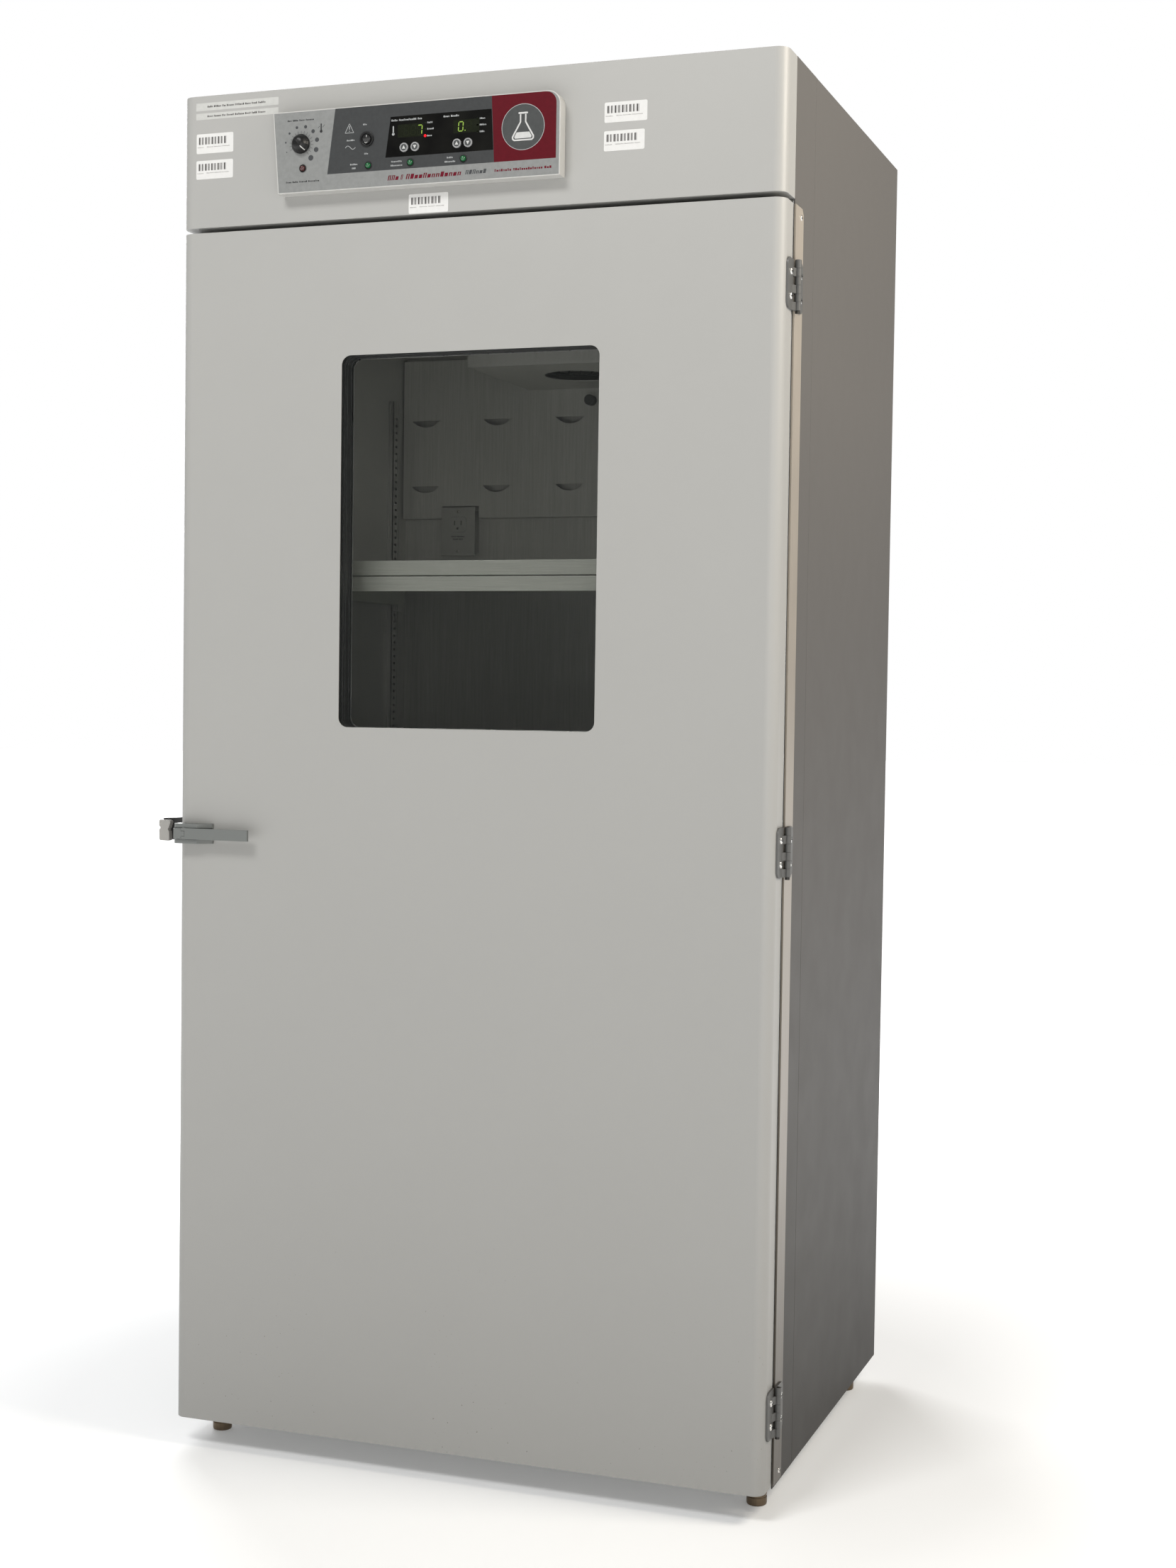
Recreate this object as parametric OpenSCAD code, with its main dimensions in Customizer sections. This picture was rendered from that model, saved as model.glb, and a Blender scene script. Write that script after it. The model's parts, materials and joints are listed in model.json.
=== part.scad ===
// Laboratory incubator: insulated cabinet, hinged windowed door and raised control panel.
// X runs to the right, Y to the back and Z up. The parts are drawn with the middle of the
// cabinet at x = 0 and the door's front face at y = 0, and in_frame() then moves them so that
// the origin is at the middle of the whole object's box, on the floor.

/* [Cabinet] */
// Width of the cabinet and the door
body_w = 978; // [940:1:1020]
// Height from the floor to the top
body_h = 2145; // [2120:1:2200]
// Depth from the door's front face to the rear panel
body_d = 774; // [770:1:840]
// Height of the levelling feet under the cabinet
foot_h = 40; // [36:1:50]
// Height of the header cover that carries the control panel
header_h = 205; // [200:1:230]
// Depth of the header cover's sides
header_d = 57; // [57:1:60]
// Depth of the strip at the front of each side
side_strip_d = 117; // [100:1:140]
// Thickness of the case sheet
sheet_t = 1.5; // [1.2:0.1:2]

/* [Chamber] */
// Clear width inside
chamber_w = 800; // [780:1:810]
// Height of the chamber floor above the ground
chamber_z0 = 132; // [128:1:140]
// Height of the chamber ceiling above the ground
chamber_z1 = 1848; // [1840:1:1850]
// Depth at which the rear liner stands
chamber_back = 668; // [660:1:680]
// Thickness of the stainless liner
liner_t = 1.2; // [1:0.1:1.5]
// Height of the top of each shelf above the ground
shelf_tops = [560, 990, 1423];

/* [Door] */
// Depth of the door's folded sides
door_d = 46.6; // [44:0.1:50]
// Gap between the cabinet's underside and the door's lower edge
door_lift = 6; // [4:1:10]
// Gap between the door and the header cover
door_gap = 8; // [6:1:10]
// Radius of the front vertical edges
edge_r = 18; // [12:1:20]
// Width of the window
window_w = 420; // [380:1:440]
// Height of the window
window_h = 571; // [520:1:600]
// Height of the window's lower edge above the door's lower edge
window_lift = 1115; // [1080:1:1150]
// Distance of the window's middle from the door's middle
window_x = 1.5; // [-5:0.5:5]
// Radius of the window's corners
window_r = 15; // [10:1:20]

/* [Hinges] */
// Height of each hinge
hinge_h = 73.5; // [70:0.1:80]
// Heights of the hinges' middles above the door's lower edge
hinge_lifts = [113, 944, 1768];
// Radius of the knuckles
knuckle_r = 4.8; // [4.5:0.1:4.8]
// Distance of the hinge axis outside the cabinet's side
hinge_out = 8; // [8:0.5:9]
// Depth of the hinge axis behind the door's front face
hinge_y = 52; // [52:0.1:52.5]

/* [Latch] */
// Height of the latch's middle above the door's lower edge
latch_lift = 942; // [900:1:1000]
// Height of the lever
lever_h = 17.5; // [16:0.5:18]
// Length of the lever
lever_l = 117; // [100:1:130]

/* [Control panel] */
// Height of the control housing
panel_h = 124; // [120:1:130]
// Depth by which the control housing stands out
panel_d = 22; // [20:1:24]
// Height of the housing's lower edge above the door's lower edge
panel_lift = 1933; // [1925:1:1940]
// Radius of the over-temperature knob
knob_r = 14.8; // [12:0.1:16]
// Radius of the key buttons
button_r = 6.7; // [6:0.1:7]

/* [Hidden] */
$fn = 48;
gap = 0.2;
half_w = body_w / 2;
half_chamber = chamber_w / 2;

// Levels and planes
case_y = header_d;
door_z0 = foot_h + door_lift;
header_z0 = body_h - header_h;
door_h = header_z0 - door_gap - door_z0;
deck_z = header_z0 - 2;
deck_t = 1.8;
window_z0 = door_z0 + window_lift;
frame_t = 3;
liner_y0 = case_y + frame_t + 0.3;
strip_back = case_y + side_strip_d;

// Chamber fittings
duct_z0 = 1536;
duct_y = chamber_back - 20;
louvre_w = 54;
louvre_pitch = 141;
louvre_rows = [1589, 1709];
outlet_x = -282;
outlet_z = 1511;
outlet_w = 66;
outlet_h = 88;
socket_z = outlet_z + 12.6;
standard_w = 25;
standard_t = 10;
standard_wall = 1.5;
standard_ys = [128, 600];
clip_w = 12;
rail_h = 23;
shelf_t = 1.5;
shelf_front = 92;
shelf_back = 628;
shelf_half = half_chamber - standard_t - 4;
pan_low = [-190, 240, chamber_z0 + gap];
pan_high = [190, 520, chamber_z0 + 62];
pan_t = 1.5;

// Feet and gasket
foot_x = half_w - 34;
foot_r = 15.5;
foot_ys = [98, 690];
gasket_w = 18;

// Hinges and latch
axis_x = half_w + hinge_out;
bar_t = 3;
leaf_t = 2.7;
leaf_w = 32;
pin_r = 2.4;
knuckles = 6;
knuckle_h = hinge_h / knuckles;
screw_dz = 17.6;
screw_r = 2.4;
door_screw_y = door_d - 14;
case_screw_y = hinge_y + 24;
latch_z = door_z0 + latch_lift;
latch_x = -half_w + 29;
latch_y = -14;
latch_pin_r = 3;
lever_front = -24;
ear_t = 6.5;
strike_x = -half_w - 44;
ear_left = -half_w + 4;
ear_right = -half_w + 64;
claw_x = -half_w + 19;
latch_screw_xs = [latch_x + 12, latch_x + 28];

// Control panel
panel_z0 = door_z0 + panel_lift;
panel_z1 = panel_z0 + panel_h;
panel_left = [-318, -309];
panel_right = 153;
panel_corner = 20;
panel_wall = 3;
board_y = -9.6;
knob_at = [-269.4, door_z0 + 2006.2];
rocker_at = [-158.8, door_z0 + 2006.1];
rocker_r = 8.35;
alarm_at = [-266.4, door_z0 + 1969.4];
lamps_at = [[-156.1, door_z0 + 1966.5], [-86.5, door_z0 + 1966.5], [-0.1, door_z0 + 1966.5]];
lamp_r = 6;
button_z = door_z0 + 1989.5;
button_xs = [-97.1, -79.1, -10.8, 7.2];
window_outline = [[-120, 2037], [44.6, 2037], [47.9, 1976], [-128.3, 1976]];

// Blower
blower_y = 500;
sensor_z = 1742;
plenum_z0 = 1764;
wheel_r = 75;
shaft_r = 4;
motor_z0 = header_z0 + gap;

// Rear fittings
fitting_x = 120;
fitting_z = body_h - 105;
barb_r = 3.2;
barb_end = body_d + 26;
inlet_x = -300;
inlet_z = body_h - 105;

// Extents of the whole object, which set the origin
x_low = strike_x - 11;
x_high = axis_x + knuckle_r;
y_low = -38;
y_high = barb_end;

module in_frame() {
    translate([-(x_low + x_high) / 2, -(y_low + y_high) / 2, 0]) children();
}

// A box given by its low and high corners
module block(low, high) {
    translate(low) cube([high[0] - low[0], high[1] - low[1], high[2] - low[2]]);
}

// A cylinder along X or Y, starting at a point
module rod_x(at, r, l) {
    translate(at) rotate([0, 90, 0]) cylinder(r = r, h = l);
}

module rod_y(at, r, l) {
    translate(at) rotate([-90, 0, 0]) cylinder(r = r, h = l);
}

// An outline drawn in X and Z, and carried from depth y0 to y1
module front_shape(y0, y1) {
    translate([0, y1, 0]) rotate([90, 0, 0]) linear_extrude(y1 - y0) children();
}

// An outline drawn in X and Y, and carried from height z0 to z1
module plan_shape(z0, z1) {
    translate([0, 0, z0]) linear_extrude(z1 - z0) children();
}

module round_rect(w, h, r) {
    translate([-w / 2 + r, 0]) square([w - 2 * r, h]);
    translate([-w / 2, r]) square([w, h - 2 * r]);
    for (x = [-w / 2 + r, w / 2 - r], z = [r, h - r]) translate([x, z]) circle(r);
}

// Plan of a folded front: square at the back and rounded at its two front corners
module front_plan(w, d, r) {
    translate([-w / 2, r]) square([w, d - r]);
    translate([-w / 2 + r, 0]) square([w - 2 * r, d]);
    for (x = [-w / 2 + r, w / 2 - r]) translate([x, r]) circle(r);
}

// A folded sheet box that is open at its back
module folded_box(w, d, r, z0, z1) {
    difference() {
        plan_shape(z0, z1) front_plan(w, d, r);
        plan_shape(z0 + sheet_t, z1 - sheet_t) translate([0, sheet_t])
            front_plan(w - 2 * sheet_t, d, r - sheet_t);
    }
}

module window_cut(grow, y0, y1) {
    translate([window_x, 0, window_z0 - grow]) front_shape(y0, y1)
        round_rect(window_w + 2 * grow, window_h + 2 * grow, window_r + grow);
}

// ---- Cabinet case ----

module case_front_strips() {
    color("darkgray") in_frame() difference() {
        for (m = [0, 1]) mirror([m, 0, 0])
            block([half_w - sheet_t, case_y, foot_h], [half_w, strip_back, body_h]);
        case_screw_holes(screw_r + 0.1);
    }
}

module case_side(m) {
    color("darkgray") in_frame() mirror([m, 0, 0])
        block([half_w - sheet_t, strip_back + 1, foot_h], [half_w, body_d - sheet_t - gap, body_h]);
}

module case_left_panel() {
    case_side(1);
}

module case_right_panel() {
    case_side(0);
}

module case_top_panel() {
    inside = half_w - sheet_t - gap;
    color("gainsboro") in_frame() block([-inside, case_y + gap, body_h - sheet_t],
        [inside, body_d - sheet_t - gap, body_h]);
}

module case_rear_panel() {
    color("gainsboro") in_frame() difference() {
        block([-half_w, body_d - sheet_t, foot_h], [half_w, body_d, body_h]);
        rod_y([fitting_x, body_d - 5, fitting_z], 8.2, 10);
        block([inlet_x - 14, body_d - 5, inlet_z - 10], [inlet_x + 14, body_d + 5, inlet_z + 10]);
    }
}

module base_pan() {
    inside = half_w - sheet_t - gap;
    color("gray") in_frame() difference() {
        block([-inside, case_y + frame_t + gap, foot_h],
            [inside, body_d - sheet_t - gap, foot_h + 3]);
        feet_at() cylinder(r = 6.2, h = foot_h + 10);
    }
}

module opening_frame() {
    outside = half_w - sheet_t - gap;
    color("silver") in_frame() difference() {
        block([-outside, case_y, foot_h], [outside, case_y + frame_t, deck_z]);
        block([-half_chamber, case_y - 1, chamber_z0],
            [half_chamber, case_y + frame_t + 1, chamber_z1]);
    }
}

module electronics_deck() {
    inside = half_w - sheet_t - gap;
    color("silver") in_frame() difference() {
        block([-inside, case_y + gap, deck_z + gap],
            [inside, body_d - sheet_t - gap, deck_z + deck_t]);
        translate([0, blower_y, deck_z - 5]) cylinder(r = 8, h = 20);
    }
}

module cabinet_insulation() {
    outside = half_w - 6;
    color("wheat") in_frame() difference() {
        block([-outside, liner_y0, foot_h + 22], [outside, body_d - 3, deck_z - gap]);
        block([-half_chamber - liner_t - gap, liner_y0 - 5, chamber_z0 - liner_t - gap],
            [half_chamber + liner_t + gap, chamber_back + liner_t + gap,
                chamber_z1 + liner_t + gap]);
        translate([0, blower_y, chamber_z1 - 5]) cylinder(r = 8, h = 200);
    }
}

// Five flat panels, spot welded along their edges
module chamber_liner() {
    w = half_chamber;
    color("lightsteelblue") in_frame() difference() {
        union() {
            for (m = [0, 1]) mirror([m, 0, 0])
                block([w, liner_y0, chamber_z0 - liner_t],
                    [w + liner_t, chamber_back - 0.1, chamber_z1 + liner_t]);
            block([-w + 0.1, liner_y0, chamber_z1],
                [w - 0.1, chamber_back - 0.1, chamber_z1 + liner_t]);
            block([-w + 0.1, liner_y0, chamber_z0 - liner_t],
                [w - 0.1, chamber_back - 0.1, chamber_z0]);
            block([-w - liner_t, chamber_back, chamber_z0 - liner_t],
                [w + liner_t, chamber_back + liner_t, chamber_z1 + liner_t]);
        }
        translate([0, blower_y, chamber_z1 - 5]) cylinder(r = 8, h = 20);
    }
}

// ---- Chamber fittings ----

// Half-moon louvre opening, flat at the top
module half_moon() {
    intersection() {
        translate([-louvre_w / 2, -12]) square([louvre_w, 12]);
        translate([0, 24]) circle(36);
    }
}

module air_duct() {
    w = half_chamber - 3;
    color("lightsteelblue") in_frame() difference() {
        block([-w, duct_y, duct_z0], [w, chamber_back - gap, plenum_z0 + 60]);
        block([-w + liner_t, duct_y + liner_t, duct_z0 + liner_t],
            [w - liner_t, chamber_back + 1, plenum_z0 + 61]);
        for (z = louvre_rows, i = [-2.5:1:2.5]) {
            translate([i * louvre_pitch, 0, z + 6]) front_shape(duct_y - 1, duct_y + 5) half_moon();
        }
        block([outlet_x - outlet_w / 2 - 3, duct_y - 1, duct_z0 - 1],
            [outlet_x + outlet_w / 2 + 3, chamber_back, outlet_z + outlet_h / 2 + 3]);
        block([-140, duct_y - 1, plenum_z0 + 8], [140, duct_y + 5, plenum_z0 + 52]);
    }
}

// Channels with their open side against the side walls
module shelf_standards() {
    outer = half_chamber - gap;
    low = chamber_z0 + 20;
    high = plenum_z0 - 20;
    color("silver") in_frame() for (m = [0, 1], y = standard_ys) mirror([m, 0, 0]) difference() {
        block([outer - standard_t, y - standard_w / 2, low], [outer, y + standard_w / 2, high]);
        block([outer - standard_t + standard_wall, y - standard_w / 2 + standard_wall, low - 1],
            [outer + 1, y + standard_w / 2 - standard_wall, high + 1]);
    }
}

module shelf_clips() {
    inner = half_chamber - standard_t - gap - 0.1;
    color("silver") in_frame() for (m = [0, 1], y = standard_ys, top = shelf_tops) mirror([m, 0, 0])
        translate([inner, y, top - rail_h * 2 - 2]) block([-clip_w, -9, -12], [0, 9, -gap]);
}

// Perforated pan with a turned-down front, a second front rail below it and two side runners
module shelf(top) {
    rail_top = top - rail_h - 2;
    low = rail_top - rail_h;
    rail_front = shelf_front - 2 * shelf_t;
    color("lightgray") in_frame() difference() {
        union() {
            block([-shelf_half, shelf_front, top - shelf_t], [shelf_half, shelf_back, top]);
            block([-shelf_half, shelf_front, top - rail_h],
                [shelf_half, shelf_front + shelf_t, top]);
            block([-shelf_half, rail_front, low], [shelf_half, rail_front + shelf_t, rail_top]);
            block([-shelf_half, rail_front, rail_top - shelf_t],
                [shelf_half, shelf_front + 10, rail_top]);
            for (m = [0, 1]) mirror([m, 0, 0])
                block([shelf_half - shelf_t, rail_front, low], [shelf_half, shelf_back, top]);
        }
        for (x = [-300:100:300], y = [140:90:590]) {
            block([x - 35, y, top - 5], [x + 35, y + 12, top + 5]);
        }
    }
}

module shelf_lower() {
    shelf(shelf_tops[0]);
}

module shelf_middle() {
    shelf(shelf_tops[1]);
}

module shelf_upper() {
    shelf(shelf_tops[2]);
}

module interior_outlet() {
    color("lightgray") in_frame() {
        difference() {
            union() {
                block([outlet_x - outlet_w / 2, duct_y - 10, outlet_z - outlet_h / 2],
                    [outlet_x + outlet_w / 2, duct_y - 8, outlet_z + outlet_h / 2]);
                block([outlet_x - 29, duct_y - 9, outlet_z - 38],
                    [outlet_x + 29, chamber_back - gap, outlet_z + 38]);
                translate([outlet_x, 0, socket_z]) front_shape(duct_y - 11.5, duct_y - 9)
                    translate([0, -14]) round_rect(34, 28, 8);
            }
            for (x = [-6.3, 6.3]) {
                block([outlet_x + x - 1, duct_y - 13, socket_z - 1],
                    [outlet_x + x + 1, duct_y - 5, socket_z + 7]);
            }
            rod_y([outlet_x, duct_y - 13, socket_z - 7], 2.3, 8);
        }
    }
}

module blower_housing() {
    color("silver") in_frame() difference() {
        block([-150, blower_y - 140, plenum_z0], [150, duct_y - 1, chamber_z1 - gap]);
        block([-148.5, blower_y - 138.5, plenum_z0 + 1.5], [148.5, duct_y + 1, chamber_z1 + 1]);
        translate([0, blower_y, plenum_z0 - 1]) cylinder(r = 60, h = 5);
    }
}

module blower_wheel() {
    color("dimgray") in_frame() translate([0, blower_y, 0]) {
        translate([0, 0, plenum_z0 + 54]) cylinder(r = wheel_r, h = 3);
        translate([0, 0, plenum_z0 + 10]) difference() {
            cylinder(r = wheel_r, h = 3);
            translate([0, 0, -1]) cylinder(r = wheel_r - 14, h = 5);
        }
        for (i = [0:19]) {
            rotate([0, 0, i * 18]) translate([wheel_r - 13, -0.7, plenum_z0 + 12])
                cube([11, 1.4, 43]);
        }
        translate([0, 0, plenum_z0 + 44]) cylinder(r = 12, h = 12);
        translate([0, 0, plenum_z0 + 44]) cylinder(r = shaft_r, h = motor_z0 + 60 - plenum_z0 - 44);
    }
}

module blower_motor() {
    color("darkslategray") in_frame() translate([0, blower_y, 0]) difference() {
        union() {
            translate([0, 0, motor_z0]) cylinder(r = 60, h = 4);
            translate([0, 0, motor_z0 + 3]) cylinder(r = 46, h = 75);
        }
        translate([0, 0, motor_z0 - 1]) cylinder(r = shaft_r + 0.06, h = 66);
    }
}

// A tubular loop round the wheel, open at the back, with two risers into the ceiling
module heating_element() {
    loop_r = wheel_r + 26;
    z = plenum_z0 + 40;
    color("sienna") in_frame() translate([0, blower_y, 0]) {
        translate([0, 0, z]) rotate([0, 0, 110]) rotate_extrude(angle = 320)
            translate([loop_r, 0]) circle(4);
        for (a = [110, 70]) {
            rotate([0, 0, a]) translate([loop_r, 0, z - 4]) cylinder(r = 4.4, h = chamber_z1 - z);
        }
    }
}

// The gas sensor and the temperature probe, on the face of the air duct
module chamber_sensors() {
    color("dimgray") in_frame() {
        rod_y([-29.6, duct_y - gap - 16, sensor_z], 9.4, 16);
        rod_y([29.6, duct_y - gap - 4, sensor_z], 9.4, 4);
        rod_y([29.6, duct_y - gap - 60, sensor_z], 3.2, 57);
    }
}

module water_pan() {
    color("lightsteelblue") in_frame() difference() {
        block(pan_low, pan_high);
        block(pan_low + [pan_t, pan_t, pan_t], pan_high + [-pan_t, -pan_t, 1]);
    }
}

// ---- Electronics ----

module control_board() {
    color("darkgreen") in_frame() {
        block([-300, board_y, panel_z0 + 8], [140, board_y + 1.6, panel_z1 - 8]);
        for (x = [-72, -3]) {
            block([x - 24, board_y - 8, button_z + 13], [x + 24, board_y + 0.1, button_z + 37]);
        }
        rod_y([knob_at[0], board_y - 8, knob_at[1]], 9, 8.1);
        block([20, board_y + 1.5, panel_z0 + 30], [110, board_y + 7, panel_z1 - 30]);
    }
}

module power_supply() {
    color("darkgray") in_frame() {
        block([190, 300, header_z0 + gap], [350, 470, header_z0 + 75]);
        block([215, 320, header_z0 + 74], [325, 450, header_z0 + 95]);
    }
}

module gas_valve() {
    color("brown") in_frame() {
        block([fitting_x - 25, 660, header_z0 + gap], [fitting_x + 25, 690, fitting_z - 16]);
        block([fitting_x - 18, 655, fitting_z - 16.1], [fitting_x + 18, 735, fitting_z + 16]);
        translate([fitting_x, 685, fitting_z + 15]) cylinder(r = 14, h = 40);
    }
}

module gas_fitting() {
    color("gold") in_frame() {
        rod_y([fitting_x, 735.2, fitting_z], 8, body_d + 3 - 735.2);
        translate([fitting_x, body_d + gap, fitting_z]) rotate([-90, 0, 0])
            cylinder(r = 12, h = 6, $fn = 6);
        rod_y([fitting_x, body_d, fitting_z], barb_r, barb_end - body_d);
    }
}

module power_inlet() {
    color("black") in_frame() difference() {
        union() {
            block([inlet_x - 25, body_d + 0.1, inlet_z - 15],
                [inlet_x + 25, body_d + 4, inlet_z + 15]);
            block([inlet_x - 13.8, body_d - 30, inlet_z - 9.8],
                [inlet_x + 13.8, body_d + 1, inlet_z + 9.8]);
        }
        block([inlet_x - 12, body_d - 16, inlet_z - 8], [inlet_x + 12, body_d + 6, inlet_z + 8]);
    }
}

// ---- Header and control panel ----
module header_cover() {
    color("gainsboro") in_frame() difference() {
        folded_box(body_w, header_d - gap, edge_r, header_z0, body_h);
        block([-200, -5, panel_z0 + 30], [60, 10, panel_z1 - 30]);
    }
}

module panel_outline(inset) {
    low = panel_z0 + inset;
    high = panel_z1 - inset;
    corner = panel_corner - inset;
    right = panel_right - inset;
    polygon([[panel_left[1] + inset, low], [right, low], [right, high - corner],
        [right - corner, high], [panel_left[0] + inset, high]]);
    intersection() {
        translate([right - corner, high - corner]) circle(corner);
        translate([right - corner, high - corner]) square(corner);
    }
}

// The slanted outline of the dark display window, with a stated inset
module lens_outline(inset) {
    signs = [[1, -1], [-1, -1], [-1, 1], [1, 1]];
    polygon([for (i = [0:3]) [window_outline[i][0] + signs[i][0] * inset,
        door_z0 + window_outline[i][1] + signs[i][1] * inset]]);
}

module panel_holes() {
    rod_y([knob_at[0], -panel_d - 2, knob_at[1]], 3.08, 8);
    rod_y([rocker_at[0], -panel_d - 2, rocker_at[1]], 10, 20);
    for (p = concat([alarm_at], lamps_at)) rod_y([p[0], -panel_d - 2, p[1]], 4.2, 8);
}

module control_housing() {
    color("whitesmoke") in_frame() difference() {
        front_shape(-panel_d, -gap) panel_outline(0);
        front_shape(-panel_d + panel_wall, 1) panel_outline(panel_wall);
        front_shape(-panel_d - 1, -panel_d + panel_wall + 1) lens_outline(0);
        panel_holes();
    }
}

module panel_overlay() {
    color("darkgray") in_frame() difference() {
        front_shape(-panel_d - 0.5, -panel_d) panel_outline(1.5);
        front_shape(-panel_d - 1, -panel_d + 1) lens_outline(0);
        panel_holes();
    }
}

module display_window() {
    color("black") in_frame() difference() {
        front_shape(-panel_d - 0.6, -panel_d + 2.4) lens_outline(0.2);
        for (x = button_xs) rod_y([x, -panel_d - 3, button_z], button_r + 0.35, 8);
    }
}

module lamp(p) {
    rod_y([p[0], -panel_d - 2, p[1]], lamp_r, 1.4);
    rod_y([p[0], -panel_d - 1, p[1]], 4.1, 12);
    intersection() {
        translate([p[0], -panel_d - 1, p[1]]) sphere(4.6);
        rod_y([p[0], -panel_d - 8, p[1]], 4.6, 7);
    }
}

module panel_lamps() {
    color("green") in_frame() {
        for (p = lamps_at) lamp(p);
        lamp(alarm_at);
    }
}

module switch_bezel() {
    color("black") in_frame() difference() {
        union() {
            rod_y([rocker_at[0], -panel_d - 3, rocker_at[1]], 11.3, 2.4);
            rod_y([rocker_at[0], -panel_d - 2, rocker_at[1]], 9.9, 12);
        }
        rod_y([rocker_at[0], -panel_d - 4, rocker_at[1]], rocker_r + 0.3, 12.5);
    }
}

// The rocker is a barrel round its own axis with a shallow notched face, pressed at its top
module power_rocker() {
    r = rocker_r;
    color("black") in_frame() translate([rocker_at[0], -19.5, rocker_at[1]]) rotate([-8, 0, 0])
        difference() {
            rotate([0, 90, 0]) rotate_extrude() polygon([[0, -7.6], [3.4, -7.6], [6.4, -5.2],
                [r, -2], [r, 2], [6.4, 5.2], [3.4, 7.6], [0, 7.6]]);
            rotate([90, 0, 90]) linear_extrude(3 * r, center = true)
                polygon([[-12, -12], [-6.5, -9], [-5.4, 0], [-6.5, 9], [-12, 12]]);
            block([-9, 3, -9], [9, 9, 9]);
        }
}

module safety_knob() {
    color("black") in_frame() {
        translate([knob_at[0], -27, knob_at[1]]) rotate([90, 0, 0])
            cylinder(r1 = knob_r - 1, r2 = knob_r - 5.8, h = -27 - y_low);
        rod_y([knob_at[0], -27.2, knob_at[1]], knob_r, 4);
        rod_y([knob_at[0], -27.2, knob_at[1]], 3, 9);
    }
}

module key_button(x) {
    color("lightgray") in_frame() {
        rod_y([x, -panel_d - 2.4, button_z], button_r, 8);
        rod_y([x, -panel_d + 3.6, button_z], button_r + 1.4, 1.8);
        rod_y([x, -panel_d + 3.6, button_z], 3, 7.4);
    }
}

module temp_up_button() {
    key_button(button_xs[0]);
}

module temp_down_button() {
    key_button(button_xs[1]);
}

module gas_up_button() {
    key_button(button_xs[2]);
}

module gas_down_button() {
    key_button(button_xs[3]);
}

// ---- Feet ----
module feet_at() {
    for (x = [-foot_x, foot_x], y = foot_ys) translate([x, y, 0]) children();
}

module levelling_feet() {
    color("dimgray") in_frame() feet_at() {
        cylinder(r = foot_r, h = foot_h - 9);
        translate([0, 0, foot_h - 9.1]) cylinder(r = 14.5, h = 8.9, $fn = 6);
        translate([0, 0, foot_h - 1]) cylinder(r = 6, h = 20);
    }
}

// ---- Strike on the left side ----
module strike_bracket() {
    x = -half_w;
    color("dimgray") in_frame() translate([0, 0, latch_z]) {
        block([x - 3, 62, -24], [x - 0.1, 112, 26]);
        front_shape(45.2, 62.5) polygon([[x - 0.3, -17], [x - 0.3, 24], [x - 30, 20],
            [x - 53, 19], [x - 53, -14]]);
    }
}

module strike_block() {
    color("lightgray") in_frame() translate([0, 0, latch_z]) difference() {
        union() {
            block([strike_x - 10.5, 34, -16.8], [strike_x + 8.5, 45, 16.8]);
            block([strike_x - 11, 34, 0], [strike_x + 10, 45, 16.8]);
        }
        rod_y([strike_x - 11.5, 30, 4], 2.6, 20);
        rod_y([strike_x + 11.5, 30, 1], 5, 20);
    }
}

// ---- Hinges ----
module each_hinge() {
    for (z = hinge_lifts) translate([0, 0, door_z0 + z - hinge_h / 2]) children();
}

// A leaf's outline by its width and height, rounded at its free edge
module leaf_outline(w) {
    r = 10;
    translate([0, 0]) square([w - r, hinge_h]);
    translate([0, r]) square([w, hinge_h - 2 * r]);
    for (z = [r, hinge_h - r]) translate([w - r, z]) circle(r);
}

module knuckle_set(first, web) {
    for (i = [first:2:knuckles - 1]) {
        translate([0, 0, i * knuckle_h + 0.15]) {
            translate([axis_x, hinge_y, 0]) cylinder(r = knuckle_r, h = knuckle_h - 0.3);
            linear_extrude(knuckle_h - 0.3) polygon(web);
        }
    }
}

module knuckle_bore() {
    translate([axis_x, hinge_y, -5]) cylinder(r = pin_r + 0.05, h = hinge_h + 10);
}

module hinge_leaves_door() {
    x = half_w + 0.1;
    web = [[x, door_d - 8], [x + leaf_t, door_d - 8], [axis_x - 1.4, hinge_y - 4],
        [axis_x - 3.4, hinge_y - 0.5], [x + 1, door_d]];
    color("gray") in_frame() difference() {
        each_hinge() {
            difference() {
                union() {
                    translate([x + leaf_t, door_d - 0.4, 0]) rotate([90, 0, 0])
                        rotate([0, -90, 0]) linear_extrude(leaf_t) leaf_outline(leaf_w);
                    knuckle_set(0, web);
                }
                knuckle_bore();
            }
        }
        door_screw_holes(screw_r + 0.1);
    }
}

module hinge_leaves_cabinet() {
    x = half_w + bar_t + 0.1;
    web = [[x, hinge_y + 1.2], [x + leaf_t, hinge_y + 1.2], [x + leaf_t, hinge_y + 7],
        [x, hinge_y + 7]];
    color("gray") in_frame() difference() {
        each_hinge() {
            difference() {
                union() {
                    translate([x, hinge_y + 5.5, 0]) rotate([90, 0, 0]) rotate([0, 90, 0])
                        linear_extrude(leaf_t) leaf_outline(leaf_w);
                    knuckle_set(1, web);
                }
                knuckle_bore();
            }
        }
        case_screw_holes(screw_r + 0.1);
    }
}

module hinge_pins() {
    color("dimgray") in_frame() each_hinge() {
        translate([axis_x, hinge_y, -2.5]) cylinder(r = pin_r, h = hinge_h + 3);
        translate([axis_x, hinge_y, -4]) cylinder(r = 3.6, h = 3.9);
    }
}

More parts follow.
